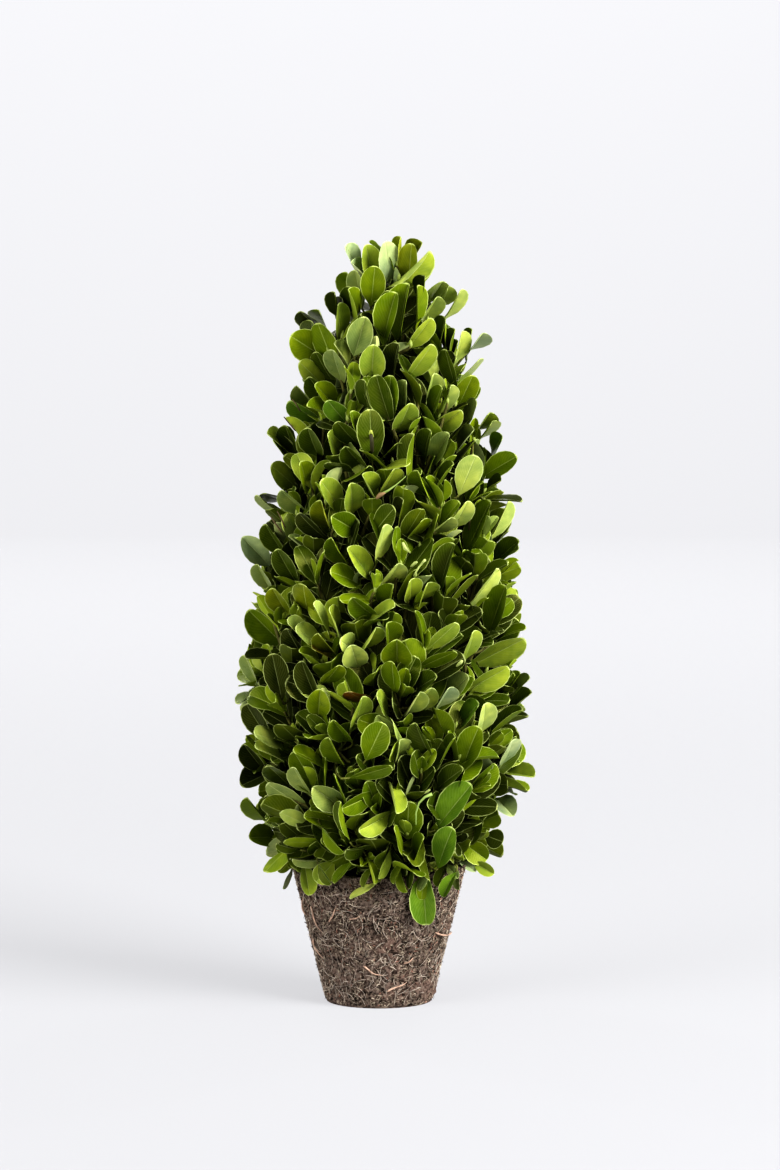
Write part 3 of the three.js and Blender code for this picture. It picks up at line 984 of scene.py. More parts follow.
sprigs = source_sprigs()
for sprig in sprigs:
    sprig["point"] = outline_point(sprig)
    sprig["parent"] = None
source_count = len(sprigs)
for i in range(FINE_TRIES):
    seed = FINE_SEED + i
    height = height_at_share(chance(seed, 4) * (1 - 2 * FINE_END_GAP) + FINE_END_GAP)
    sprig = {
        "seed": seed,
        "azimuth": 360 * chance(seed, 5),
        "height": height,
        "proud": FINE_PROUD_MEAN + swing(seed, 2) * FINE_PROUD_SCATTER,
        "rise": rise_at(height) + swing(seed, 3) * FINE_RISE_SCATTER,
        "aside": swing(seed, 8) * FINE_HEADING_SCATTER,
    }
    sprig["point"] = outline_point(sprig)
    if all((sprig["point"] - other["point"]).length > FINE_SPACING for other in sprigs):
        near = min(
            range(source_count), key=lambda k: (sprigs[k]["point"] - sprig["point"]).length
        )
        sprig["parent"] = near
        sprigs.append(sprig)

for sprig in sprigs:
    along = pointing(sprig["azimuth"] + sprig.get("aside", 0), sprig["rise"])
    sprig["along"] = along
    reach = TIP_LEAF_REACH if sprig["height"] > TIP_HEIGHT else LEAF_REACH
    sprig["tip"] = sprig["point"] - along * reach
    sprig["elbow"] = sprig["point"] - along * MODEL_LEAF_REACH
    if sprig["parent"] is not None:
        bough = sprigs[sprig["parent"]]
        sprig["root"] = bough["root"].lerp(bough["elbow"], FINE_TWIG_SHARE)
        continue
    inwards = -along
    if sprig["rise"] < STEEP_DROOP:
        inwards = -pointing(sprig["azimuth"], 0)
    root = sprig["elbow"].copy()
    for _ in range(ROOT_STEPS):
        middle = Vector((lean_at(root.z), 0))
        depth = outline_radius(root.z) - SPRIG_DEPTH - (root.xy - middle).length
        if depth > TWIG_SUNK:
            break
        root += inwards * ROOT_STEP
    sprig["root"] = root

# The stem: thin grey-brown bark with shallow ridges, flared where it stands on the soil. It is
# a cylinder drawn out to the stem's height, narrowed towards its tip and leaned with the plant.
STEM_SIDES = 28
STEM_RINGS = 90
STEM_FOOT_RADIUS = 0.0085
STEM_RADIUS = 0.0055
STEM_TIP_RADIUS = 0.0015
STEM_FLARE = 0.014
STEM_COLOURS = ("#7d6a50", "#3c3024")
BARK_RELIEF = 0.00045
BARK_RIDGES = (420, 420, 60)
BARK_RIDGE_DETAIL = (0.6, 2, 3)
BARK_CREST = 0.6
BARK_STRETCH = (1, 1, 0.22)
BARK_FURROWS = (700, 5)
BARK_FURROW_RANGE = (0.35, 0.65)
BARK_ROUGHNESS = 0.8
BARK_GLOSS = 0.25
BARK_BUMP = (0.5, 0.0004)

stem_low, stem_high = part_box("stem")


def stem_radius(height):
    """The radius of the stem at a height, with its flare at the foot."""
    up = (height - stem_low.z) / (stem_high.z - stem_low.z)
    flare = max(0, 1 - (height - stem_low.z) / STEM_FLARE)
    taper = STEM_RADIUS + (STEM_TIP_RADIUS - STEM_RADIUS) * up
    return taper + (STEM_FOOT_RADIUS - STEM_RADIUS) * flare**2


stem = add_cylinder("stem_bark", STEM_SIDES, STEM_RADIUS, stem_low.z, stem_high.z)
cut_rings(stem, (stem_high.z - stem_low.z) / 2, STEM_RINGS)
for vertex in stem.data.vertices:
    height = vertex.co.z
    ridges = noise.fractal(vertex.co * Vector(BARK_RIDGES), *BARK_RIDGE_DETAIL)
    wanted = stem_radius(height) - BARK_RELIEF * (BARK_CREST - ridges)
    vertex.co.xy = vertex.co.xy.normalized() * wanted
    vertex.co.x += lean_at(height)
bpy.ops.object.shade_smooth()

bark_group, bark_in, bark_out = new_group(
    "thin_bark",
    {"Place": "NodeSocketVector", "Ridge": "NodeSocketColor", "Furrow": "NodeSocketColor"},
    {"Color": "NodeSocketColor", "Height": "NodeSocketFloat"},
)
drawn_out = bark_group.nodes.new("ShaderNodeMapping")
drawn_out.inputs["Scale"].default_value = BARK_STRETCH
bark_group.links.new(bark_in.outputs["Place"], drawn_out.inputs["Vector"])
furrows = add_noise(bark_group, drawn_out.outputs["Vector"], *BARK_FURROWS)
ridged = add_mix(
    bark_group,
    add_range(bark_group, furrows, *BARK_FURROW_RANGE),
    bark_in.outputs["Furrow"],
    bark_in.outputs["Ridge"],
)
bark_group.links.new(ridged, bark_out.inputs["Color"])
bark_group.links.new(furrows, bark_out.inputs["Height"])


def bark_material(name, ridge, furrow):
    """Bark or twig skin with ridges along it."""
    colours = {"Ridge": ridge, "Furrow": furrow}
    return grained_material(
        name, ridge, BARK_ROUGHNESS, BARK_GLOSS, bark_group, colours, BARK_BUMP
    )[0]


dress(stem, [bark_material("stem_bark", *STEM_COLOURS)], ["stem"])

# The heart of the foliage: the dense inner growth that the sprigs stand in, which shows only
# as dark depths between them. Its near-black colours are painted shade for those depths. It
# follows the outline further in than the sprigs' roots.
HEART_SIDES = 72
HEART_RINGS = 90
HEART_RADIUS = 0.02
HEART_LEAST_RADIUS = 0.006
HEART_DEPTH = 0.034
HEART_LUMPS = 0.003
HEART_LUMP_SIZE = 0.012
HEART_FOOT_GAP = 0.0005
HEART_TIP = 0.352
HEART_TIP_LENGTH = 0.03
HEART_TIP_RADIUS = 0.0005
# Near-black colours: painted shade for the depths between the sprigs
HEART_SHADE_COLOURS = {"Dark": "#070805", "Body": "#141a0c", "Pale": "#232b12", "Flush": "#1c1a10"}

heart_foot = soil_top + HEART_FOOT_GAP
heart = add_cylinder("foliage_heart", HEART_SIDES, HEART_RADIUS, heart_foot, HEART_TIP)
cut_rings(heart, (HEART_TIP - heart_foot) / 2, HEART_RINGS)
for vertex in heart.data.vertices:
    height = vertex.co.z
    outward = vertex.co.xy.normalized()
    lumps = HEART_LUMPS * grains(vertex.co, HEART_LUMP_SIZE)
    narrowing = min(1, (HEART_TIP - height) / HEART_TIP_LENGTH) ** 0.5
    reach = max(outline_radius(height) - HEART_DEPTH + lumps, HEART_LEAST_RADIUS) * narrowing
    vertex.co.xy = outward * max(reach, HEART_TIP_RADIUS)
    vertex.co.x += lean_at(height)
bpy.ops.object.shade_smooth()
dress(heart, [peat_material("inner_growth", HEART_SHADE_COLOURS)])

# The twigs: thin green-brown shoots, square at first and round lower down, each from its root
# to its rosette with a slight bend, and a small pale bud at its tip.
TWIG_TIP_RADIUS = 0.0007
TWIG_ROOT_RADIUS = 0.0013
TWIG_STEPS = 7
TWIG_SIDES = 5
TWIG_BEND = 0.12
TWIG_COLOURS = ("#6b6a34", "#3d3a1e")
BUD_STEPS = (-0.001, 0.0008, 0.0022, 0.0034)
BUD_RADII = (0.0005, 0.0011, 0.0009, 0.0002)
BUD_COLOUR = "#8f9c4c"
BUD_ROUGHNESS = 0.6


def bent_line(start, bend, end, steps):
    """Points along a smooth bend from a start to an end, drawn towards a point between."""
    shares = [i / (steps - 1) for i in range(steps)]
    return [start * (1 - t) ** 2 + bend * 2 * t * (1 - t) + end * t * t for t in shares]


twig_radii = np.linspace(TWIG_ROOT_RADIUS, TWIG_TIP_RADIUS, TWIG_STEPS)
twigs = []
buds = []
for sprig in sprigs:
    run = sprig["tip"] - sprig["root"]
    aside = run.cross(Vector((0, 0, 1)))
    if aside.length < 1e-6:
        aside = Vector((1, 0, 0))
    bend = aside.normalized() * run.length * TWIG_BEND * swing(sprig["seed"], 6)
    line = bent_line(sprig["root"], sprig["elbow"] + bend, sprig["tip"], TWIG_STEPS)
    twigs.append(tube(line, twig_radii, TWIG_SIDES))
    line = [sprig["tip"] + sprig["along"] * step for step in BUD_STEPS]
    buds.append(tube(line, BUD_RADII, TWIG_SIDES))
add_tubes("foliage_twigs", twigs, bark_material("young_twig", *TWIG_COLOURS))
add_tubes("foliage_buds", buds, plain_material("bud", BUD_COLOUR, BUD_ROUGHNESS)[0])

# The leaf: leathery and oval, broadest past its middle, round at the tip and drawn in to a
# very short stalk. One flat leaf is drawn from a grid and given a thickness that thins to
# nothing at its edge. Every leaf on the plant is a copy of it, bent its own way.
LEAF_COLUMN_PLACES = (-1, -0.6, 0, 0.6, 1)
LEAF_COLUMNS = len(LEAF_COLUMN_PLACES) - 1
LEAF_ROW_PLACES = (0, 0.12, 0.31, 0.51, 0.7, 0.84, 0.93, 0.98, 1)
LEAF_ROWS = len(LEAF_ROW_PLACES) - 1
LEAF_BROADEST = 0.585
LEAF_ROUND_END = 1.015
LEAF_FOOT_POWER = 1.85
LEAF_TIP_POWER = 2.1
LEAF_TIP_FLATNESS = 0.52
STALK_HALF_WIDTH = 0.07
TIP_ROUNDING = 0.02
TIP_ROUNDING_POWER = 5
TIP_NOTCH = 0.012
TIP_NOTCH_POWER = 12
LEAF_THICKNESS = 0.0005
LEAF_MERGE_GAP = 1e-5
UNDER_SLOT = 1


def half_width(t):
    """The half width of a leaf part of the way along it, as a share of its broadest."""
    if t < LEAF_BROADEST:
        back = (LEAF_BROADEST - t) / LEAF_BROADEST
        return max(1 - back**LEAF_FOOT_POWER, STALK_HALF_WIDTH)
    on = (t - LEAF_BROADEST) / (LEAF_ROUND_END - LEAF_BROADEST)
    return (1 - on**LEAF_TIP_POWER) ** LEAF_TIP_FLATNESS


bpy.ops.object.select_all(action="DESELECT")
bpy.ops.mesh.primitive_grid_add(x_subdivisions=LEAF_COLUMNS, y_subdivisions=LEAF_ROWS, size=2)
pattern = bpy.context.object
pattern.data.uv_layers[0].name = "Leaf"
inner = pattern.vertex_groups.new(name="inner")
for vertex in pattern.data.vertices:
    row = round((vertex.co.y + 1) / 2 * LEAF_ROWS)
    side = LEAF_COLUMN_PLACES[round((vertex.co.x + 1) / 2 * LEAF_COLUMNS)]
    if 0 < row < LEAF_ROWS and abs(side) < 1:
        inner.add([vertex.index], 1, "REPLACE")
    t = LEAF_ROW_PLACES[row]
    notch = TIP_NOTCH * t**TIP_NOTCH_POWER * max(0, 1 - abs(side) * 2)
    vertex.co.x = side * half_width(t)
    vertex.co.y = t - TIP_ROUNDING * t**TIP_ROUNDING_POWER * side**2 - notch
for corner in pattern.data.uv_layers[0].uv:
    side = LEAF_COLUMN_PLACES[round(corner.vector.x * LEAF_COLUMNS)]
    corner.vector = ((side + 1) / 2, LEAF_ROW_PLACES[round(corner.vector.y * LEAF_ROWS)])
thicken = pattern.modifiers.new("thicken", "SOLIDIFY")
thicken.thickness = 1
thicken.offset = 0
thicken.use_rim = False
thicken.vertex_group = "inner"
thicken.material_offset = UNDER_SLOT
for name in ("upper", "under"):
    pattern.data.materials.append(bpy.data.materials.new(name))
apply_modifiers(pattern)
bpy.ops.object.mode_set(mode="EDIT")
bpy.ops.mesh.select_all(action="SELECT")
bpy.ops.mesh.remove_doubles(threshold=LEAF_MERGE_GAP)
bpy.ops.object.mode_set(mode="OBJECT")
leaf_shape = np.array([v.co[:] for v in pattern.data.vertices])
leaf_faces = np.array([p.vertices[:] for p in pattern.data.polygons])
leaf_slots = np.array([p.material_index for p in pattern.data.polygons])
leaf_uvs = np.array([c.vector[:] for c in pattern.data.uv_layers[0].uv]).reshape(-1, 4, 2)
for name in ("upper", "under"):
    bpy.data.materials.remove(bpy.data.materials[name])
bpy.data.objects.remove(pattern)

# The rosettes. A sprig's leaves stand in crossed pairs, small and upright round the bud, then
# longer and more open down the twig, each with its upper side towards the tip. A leaf that
# would cut through one already in place is turned, opened or closed, and left out at last.
PAIRS = [
    {"back": -0.0006, "spread": 7, "length": 0.014, "fold": 22},
    {"back": 0.0014, "spread": 13, "length": 0.021, "fold": 17},
    {"back": 0.0045, "spread": 20, "length": 0.0255, "fold": 12},
    {"back": 0.009, "spread": 28, "length": 0.0272, "fold": 9},
    {"back": 0.0148, "spread": 35, "length": 0.0272, "fold": 7},
    {"back": 0.0215, "spread": 43, "length": 0.026, "fold": 6},
]
LEAF_HALF_SHARE = 0.278
LENGTH_SCATTER = 0.19
WIDTH_SCATTER = 0.15
TURN_SCATTER = 20
SPREAD_SCATTER = 11
FACING_SCATTER = 42
FOLD_SCATTER = 0.95
CURL_MEAN = 8
CURL_SCATTER = 30
LEAST_CURL = 0.01
TWIST_SCATTER = 24
CUP_MEAN = 0.3
CUP_SCATTER = 0.32
ROLL_MEAN = 0.18
ROLL_SCATTER = 0.12
ROLL_POWER = 5
WAVE_SCATTER = 0.05
WAVES = 5
WAVE_STARTS = 6
OPENING = 4
LEAF_TRIES = [
    {"turn": 0, "spread": 0, "twist": 0},
    {"turn": 10, "spread": -7, "twist": 14},
    {"turn": -10, "spread": 8, "twist": -14},
    {"turn": 20, "spread": 4, "twist": -26},
    {"turn": -20, "spread": -6, "twist": 26},
    {"turn": 6, "spread": 17, "twist": 8},
    {"turn": -6, "spread": -15, "twist": -8},
    {"turn": 32, "spread": -10, "twist": 34},
    {"turn": -32, "spread": 12, "twist": -34},
    {"turn": 0, "spread": -16, "twist": 0, "size": 0.82},
]
PROUDEST_LEAF = 0.003
HIGHEST_CLIPPED = 0.385
LOWEST_CLIPPED = 0.09
MOST_CUTS = 2
ENOUGH_CUTS = 8
POT_CLEARANCE = 0.001
NEIGHBOURHOOD = 0.03
CHECK_COLUMNS = (-0.85, 0, 0.85)
CHECK_ROWS = (0.3, 0.46, 0.62, 0.78, 0.94)


def shaped(flat, leaf):
    """Corners of a flat leaf, folded, rolled, bent and twisted as this leaf is, in its frame."""
    side, t, lift = flat[:, 0], flat[:, 1], flat[:, 2] * LEAF_THICKNESS
    half = leaf["length"] * leaf["half"]
    opening = np.clip(t * OPENING, 0, 1)
    fold = math.radians(leaf["fold"]) * opening
    x = side * half * np.cos(fold)
    z = np.abs(side) * half * np.sin(fold) + lift
    z += (leaf["cup"] * side**2 - leaf["roll"] * np.abs(side) ** ROLL_POWER) * half * opening
    z += leaf["wave"] * half * side * np.sin(t * WAVES + leaf["phase"])
    twist = math.radians(leaf["twist"]) * t
    x, z = x * np.cos(twist) + z * np.sin(twist), z * np.cos(twist) - x * np.sin(twist)
    curl = math.radians(leaf["curl"])
    if abs(curl) < LEAST_CURL:
        curl = LEAST_CURL
    bent = curl * t
    y = leaf["length"] * np.sin(bent) / curl + z * np.sin(bent)
    z = z * np.cos(bent) - leaf["length"] * (1 - np.cos(bent)) / curl
    return np.stack([x, y, z], 1)


def leaf_frame(sprig, back, turn, spread, facing):
    """The placing of a leaf on its twig, as a 3 by 3 turn and the place of its root."""
    along = sprig["along"]
    level = Vector((0, 0, 1)).cross(along)
    side = level.normalized() if level.length > 1e-3 else Vector((1, 0, 0))
    side = Matrix.Rotation(math.radians(turn), 3, along) @ side
    blade = along * math.cos(math.radians(spread)) + side * math.sin(math.radians(spread))
    across = Matrix.Rotation(math.radians(facing), 3, blade) @ blade.cross(along).normalized()
    upper = across.cross(blade)
    return np.array([across, blade, upper]).T, np.array(sprig["tip"] - along * back)


check_width = len(CHECK_COLUMNS)
check_flat = np.array([(x * half_width(t), t, 0) for t in CHECK_ROWS for x in CHECK_COLUMNS])
check_faces = [
    (at, at + 1, at + 1 + check_width, at + check_width)
    for row in range(len(CHECK_ROWS) - 1)
    for at in range(row * check_width, (row + 1) * check_width - 1)
]
leaves = []
cells = {}


def cell_of(spot):
    """The cell of the room round the plant that a spot lies in."""
    return tuple(math.floor(part / NEIGHBOURHOOD) for part in spot)


def near_leaves(spot):
    """The leaves in place whose middles are close enough to a spot to touch a leaf there."""
    home = cell_of(spot)
    for step in product((-1, 0, 1), repeat=3):
        yield from cells.get(tuple(a + b for a, b in zip(home, step)), ())


def cuts_of(tree, spot):
    """How many faces of the leaves in place a leaf cuts."""
    total = 0
    for other in near_leaves(spot):
        if (other["middle"] - spot).length < NEIGHBOURHOOD:
            total += len(tree.overlap(other["tree"]))
            if total > ENOUGH_CUTS:
                break
    return total


def meets_pot(points):
    """True where a leaf would run into the pot's wall or the soil."""
    radii = np.hypot(points[:, 0], points[:, 1])
    inside = radii < pot_radius(np.maximum(points[:, 2], 0)) + POT_CLEARANCE
    return bool(np.any(inside & (points[:, 2] < pot_height + POT_CLEARANCE)))


def stands_out(points, limit):
    """True where a leaf would stand further out of the clipped outline than a limit."""
    reach = np.hypot(points[:, 0] - lean_at(points[:, 2]), points[:, 1])
    allowed = np.array([outline_radius(height) for height in points[:, 2]]) + limit
    clipped = (points[:, 2] > LOWEST_CLIPPED) & (points[:, 2] < HIGHEST_CLIPPED)
    return bool(np.any((reach > allowed) & clipped))


# The leaves of the plant's face, which stand out on its front, each in its own place and turned
# its own way. A short shoot joins each to the nearest of the model's twigs, and the rosettes,
# which give the plant its habit, keep them in sight.
FACE_PROUD = 0.002
FACE_LEAF_LENGTH = 0.0245
FACE_LENGTH_SCATTER = 0.08
FACE_LEAST_SLANT = 1.03
FACE_WIDENING = 1.08
FACE_SEEN_WIDTH = 1.9
FACE_FOLD = 20
FACE_FOLD_SCATTER = 0.7
FACE_CURL = 6
FACE_CURL_SCATTER = 10
FACE_CUP = 0.26
FACE_CUP_SCATTER = 0.2
FACE_ROLL = 0.16
FACE_TWIST_SCATTER = 10
FACE_OVER_POT = 0.0055
FACE_RIM_HEIGHT = 0.088
FACE_RIM_SLANT = 0.004
FACE_ROUNDS = 4
FACE_SHIFTS = (0, -0.0025, 0.003, -0.005, 0.006)
MOST_TURNED = math.radians(74)
LIT_TONES = ("fresh", "bright", "lime", "frosted", "amber")
SHOOT_RADII = (0.0009, 0.0005)
SHOOT_STEPS = 5
SHOOT_BEND = 0.4
SHOOT_COLOURS = ("#75793a", "#4a4a22")
# The columns and rows of each leaf's foot and tip in the picture, how many pixels wide it looks
# and its tone, and at times how many millimetres it stands before the others. The tones are
# partly the leaves' own colours and partly painted light: leaves lit in the picture were given
# brighter and paler tones, and leaves in shade darker ones.
FACE_LEAVES = [
    (360, 276, 348, 246, 11, "frosted"),
    (372, 285, 366, 244, 20, "bright"),
    (389, 285, 387, 242, 20, "frosted"),
    (371, 306, 375, 267, 24, "fresh", 2),
    (362, 308, 356, 269, 17, "waxy"),
    (341, 322, 335, 291, 11, "deep", 2),
    (401, 275, 402, 236, 11, "olive"),
    (408, 290, 412, 243, 20, "olive"),
    (384, 291, 434, 256, 10, "bright", 7),
    (424, 305, 424, 276, 12, "dark"),
    (428, 303, 443, 281, 16, "lime"),
    (433, 308, 449, 286, 9, "lime"),
    (420, 325, 438, 296, 12, "lime"),
    (442, 322, 463, 291, 10, "lime"),
    (398, 345, 406, 283, 24, "middle"),
    (383, 345, 393, 292, 24, "middle"),
    (416, 330, 418, 285, 9, "fresh"),
    (354, 356, 366, 316, 27, "waxy"),
    (338, 345, 341, 303, 12, "bright", 2),
    (322, 332, 300, 311, 15, "deep"),
    (327, 330, 319, 309, 9, "middle"),
    (324, 358, 291, 336, 30, "fresh"),
    (338, 375, 318, 322, 24, "middle"),
    (343, 384, 331, 351, 17, "waxy"),
    (327, 392, 303, 361, 18, "bright"),
    (357, 324, 351, 286, 16, "dark", -4),
    (344, 334, 341, 298, 14, "deep", -4),
    (453, 374, 456, 341, 13, "dark", -4),
    (336, 386, 314, 354, 17, "dark", -3),
    (332, 404, 308, 378, 16, "dark", -3),
    (371, 383, 374, 345, 26, "bright"),
    (405, 380, 434, 347, 17, "bright", 2),
    (405, 350, 433, 320, 16, "bright"),
    (393, 384, 395, 344, 16, "deep"),
    (436, 378, 452, 356, 18, "deep"),
    (456, 390, 446, 348, 16, "dark"),
    (455, 365, 463, 331, 13, "lime", 2),
    (466, 362, 471, 329, 10, "middle"),
    (455, 386, 480, 358, 5, "lime"),
    (392, 425, 374, 376, 24, "dark"),
    (392, 420, 387, 376, 17, "middle"),
    (403, 415, 406, 380, 12, "waxy"),
    (457, 408, 473, 378, 22, "fresh"),
    (434, 430, 461, 413, 20, "bright", 2),
    (433, 418, 455, 388, 7, "lime"),
    (425, 405, 437, 376, 13, "lime"),
    (394, 435, 412, 407, 18, "bright"),
    (372, 462, 370, 410, 27, "dark"),
    (348, 424, 328, 403, 20, "vivid"),
    (332, 420, 311, 403, 10, "fresh"),
    (325, 424, 288, 405, 15, "vivid"),
    (299, 458, 284, 426, 15, "dark"),
    (320, 458, 306, 432, 19, "dark"),
    (339, 457, 328, 433, 15, "bright"),
    (291, 458, 272, 440, 12, "bright"),
    (362, 448, 336, 424, 15, "dark"),
    (366, 470, 345, 446, 18, "dark"),
    (424, 466, 426, 432, 14, "dark"),
    (430, 466, 449, 433, 22, "waxy"),
    (411, 488, 412, 433, 8, "dark"),
    (299, 491, 275, 466, 22, "bright"),
    (307, 494, 304, 463, 15, "fresh"),
    (341, 512, 325, 481, 18, "bright"),
    (352, 515, 352, 484, 21, "bright"),
    (374, 500, 362, 474, 14, "bright"),
    (380, 496, 396, 469, 14, "bright"),
    (383, 468, 406, 461, 8, "bright"),
    (343, 482, 370, 467, 9, "dark"),
    (459, 495, 476, 455, 24, "lime"),
    (481, 478, 515, 456, 22, "middle"),
    (491, 456, 503, 436, 12, "vivid"),
    (431, 500, 416, 471, 12, "middle"),
    (358, 532, 331, 516, 26, "middle"),
    (373, 535, 392, 508, 20, "dark"),
    (328, 540, 297, 516, 14, "deep"),
    (333, 530, 318, 504, 16, "olive"),
    (309, 514, 280, 494, 14, "waxy"),
    (288, 502, 262, 494, 7, "dark"),
    (376, 565, 386, 525, 12, "lime", 3),
    (372, 580, 350, 548, 22, "bright"),
    (464, 560, 489, 500, 20, "middle"),
    (487, 543, 513, 503, 10, "lime"),
    (492, 566, 517, 540, 17, "dark"),
    (440, 590, 451, 543, 20, "dark"),
    (270, 566, 242, 537, 24, "frosted"),
    (286, 556, 264, 526, 18, "dark"),
    (298, 585, 276, 550, 20, "dark"),
    (347, 565, 331, 537, 18, "middle"),
    (430, 535, 452, 517, 10, "lime", 3),
    (408, 540, 425, 520, 10, "fresh"),
    (450, 530, 470, 505, 14, "lime"),
    (465, 610, 502, 572, 11, "lime"),
    (487, 640, 506, 585, 22, "middle"),
    (287, 648, 248, 609, 25, "middle"),
    (315, 646, 286, 621, 16, "lime", 2),
    (324, 650, 299, 627, 14, "lime", 1),
    (290, 618, 272, 588, 18, "olive"),
    (308, 615, 303, 584, 22, "olive"),
    (360, 585, 334, 570, 18, "fresh"),
    (375, 600, 342, 597, 10, "fresh"),
    (383, 586, 401, 568, 13, "lime", 2),
    (387, 612, 393, 584, 20, "middle"),
    (410, 602, 412, 580, 17, "bright"),
    (420, 604, 428, 582, 11, "bright", 3),
    (378, 618, 352, 602, 18, "middle"),
    (366, 622, 397, 607, 13, "bright"),
    (389, 648, 389, 624, 17, "fresh"),
    (397, 668, 397, 638, 31, "fresh"),
    (395, 693, 392, 661, 18, "middle"),
    (424, 652, 457, 622, 16, "bright"),
    (463, 662, 477, 634, 13, "bright"),
    (470, 666, 525, 637, 26, "bright", 5),
    (466, 690, 509, 668, 22, "bright"),
    (358, 668, 352, 648, 24, "lime"),
    (352, 652, 346, 641, 13, "lime"),
    (359, 652, 377, 627, 7, "bright"),
    (336, 657, 311, 649, 12, "amber"),
    (337, 655, 317, 634, 12, "olive"),
    (318, 702, 300, 663, 22, "deep"),
    (322, 684, 340, 668, 15, "fresh"),
    (370, 702, 348, 693, 13, "ochre"),
    (318, 718, 320, 691, 23, "fresh"),
    (351, 732, 366, 700, 17, "bright"),
    (389, 714, 377, 695, 12, "bright"),
    (404, 716, 420, 690, 14, "lime"),
    (408, 712, 434, 692, 13, "lime"),
    (441, 702, 468, 676, 20, "waxy"),
    (436, 710, 450, 686, 13, "frosted"),
    (418, 668, 456, 650, 14, "middle"),
    (412, 694, 432, 676, 18, "dark"),
    (282, 700, 272, 654, 24, "deep"),
    (272, 742, 244, 706, 20, "deep"),
    (272, 592, 256, 566, 16, "waxy"),
    (462, 770, 476, 728, 24, "middle"),
    (458, 728, 478, 703, 15, "vivid"),
    (366, 760, 383, 725, 26, "middle"),
    (352, 742, 332, 724, 16, "middle"),
    (344, 766, 327, 739, 16, "middle"),
    (432, 758, 414, 725, 20, "dark"),
    (396, 760, 404, 743, 10, "lime"),
    (440, 766, 453, 736, 8, "dark"),
    (286, 762, 257, 745, 9, "lime", 3),
    (284, 746, 259, 730, 9, "lime", 3),
    (329, 770, 296, 748, 9, "fresh"),
    (309, 808, 266, 786, 20, "waxy"),
    (312, 796, 291, 771, 12, "waxy"),
    (342, 808, 314, 788, 27, "waxy"),
    (376, 792, 343, 810, 17, "middle"),
    (392, 812, 361, 832, 18, "bright"),
    (387, 780, 399, 812, 10, "bright"),
    (435, 830, 472, 784, 27, "vivid"),
    (438, 868, 450, 829, 22, "vivid"),
    (350, 778, 392, 765, 12, "middle"),
    (278, 838, 252, 836, 21, "fresh"),
    (272, 822, 244, 803, 10, "middle"),
    (322, 828, 342, 855, 12, "middle"),
    (374, 846, 347, 853, 12, "dark"),
    (462, 842, 487, 860, 22, "fresh"),
    (473, 862, 494, 874, 14, "bright"),
    (458, 860, 476, 872, 10, "frosted"),
    (485, 835, 503, 842, 19, "deep"),
    (501, 766, 516, 743, 11, "frosted"),
    (500, 772, 534, 775, 14, "bright"),
    (495, 798, 512, 812, 20, "frosted"),
    (290, 786, 268, 764, 18, "dark"),
    (266, 772, 243, 745, 20, "deep"),
    (436, 790, 462, 768, 18, "dark"),
    (304, 862, 309, 896, 15, "bright"),
    (334, 862, 316, 882, 20, "bright"),
    (424, 868, 424, 926, 27, "vivid", 4),
    (399, 868, 406, 893, 9, "middle"),
    (384, 878, 348, 896, 7, "lime"),
    (456, 872, 441, 896, 11, "vivid"),
    (446, 864, 458, 878, 10, "waxy"),
    (293, 866, 285, 890, 4, "frosted"),
    (390, 850, 381, 880, 9, "bright"),
    (328, 860, 292, 862, 9, "waxy"),
    (429, 873, 418, 890, 7, "waxy"),
    (456, 870, 459, 890, 8, "waxy"),
    (440, 350, 443, 318, 5, "dark"),
    (446, 354, 447, 322, 5, "middle"),
    (452, 362, 451, 330, 8, "dark"),
    (468, 352, 484, 334, 3.5, "frosted"),
    (354, 306, 345, 273, 13, "middle"),
    (354, 324, 352, 289, 4, "fresh"),
    (364, 286, 351, 262, 6, "frosted"),
    (411, 266, 417, 243, 12, "olive"),
    (349, 374, 338, 342, 6, "lime"),
    (318, 350, 309, 322, 14, "dark"),
    (316, 407, 296, 386, 15, "waxy"),
    (337, 408, 315, 384, 18, "fresh"),
    (370, 416, 362, 381, 13, "dark"),
    (430, 421, 440, 386, 10, "middle"),
    (462, 426, 472, 402, 11, "waxy"),
    (476, 432, 491, 413, 10, "bright"),
    (294, 455, 282, 431, 7, "lime"),
    (287, 453, 272, 431, 7, "bright"),
    (384, 457, 399, 445, 10, "fresh"),
    (436, 494, 449, 462, 7, "dark"),
    (483, 494, 501, 480, 9, "dark"),
    (456, 454, 474, 429, 12, "waxy"),
    (479, 440, 493, 421, 10, "bright"),
    (288, 519, 256, 496, 5, "waxy"),
    (352, 472, 327, 461, 9, "dark"),
    (400, 530, 404, 499, 6, "deep"),
    (470, 586, 506, 560, 9, "dark"),
    (496, 560, 515, 546, 8, "waxy"),
    (330, 636, 316, 603, 7, "lime", 3),
    (339, 637, 329, 609, 7, "bright", 3),
    (261, 690, 243, 656, 9, "waxy"),
    (504, 720, 528, 690, 10, "dark"),
    (507, 700, 526, 676, 8, "waxy"),
    (486, 742, 520, 706, 8, "dark"),
    (480, 735, 489, 706, 13, "lime", 3),
    (350, 842, 338, 802, 7, "dark"),
    (414, 862, 424, 836, 8, "middle"),
    (404, 858, 396, 828, 5, "fresh"),
    (450, 800, 466, 770, 12, "dark"),
    (300, 850, 276, 846, 9, "dark"),
    (352, 862, 334, 884, 10, "middle"),
    (318, 864, 331, 885, 8, "dark"),
    (374, 866, 363, 888, 8, "dark"),
    (404, 862, 393, 884, 7, "middle"),
    (447, 862, 437, 887, 9, "dark"),
    (366, 856, 376, 884, 6, "fresh"),
    (412, 866, 408, 889, 7, "dark"),
]

view_up = Vector((0, math.sin(CAMERA_ELEVATION), math.cos(CAMERA_ELEVATION)))
view_on = Vector((0, math.cos(CAMERA_ELEVATION), -math.sin(CAMERA_ELEVATION)))
to_key = (Vector(KEY_PLACE) - Vector(plant_middle)).normalized()


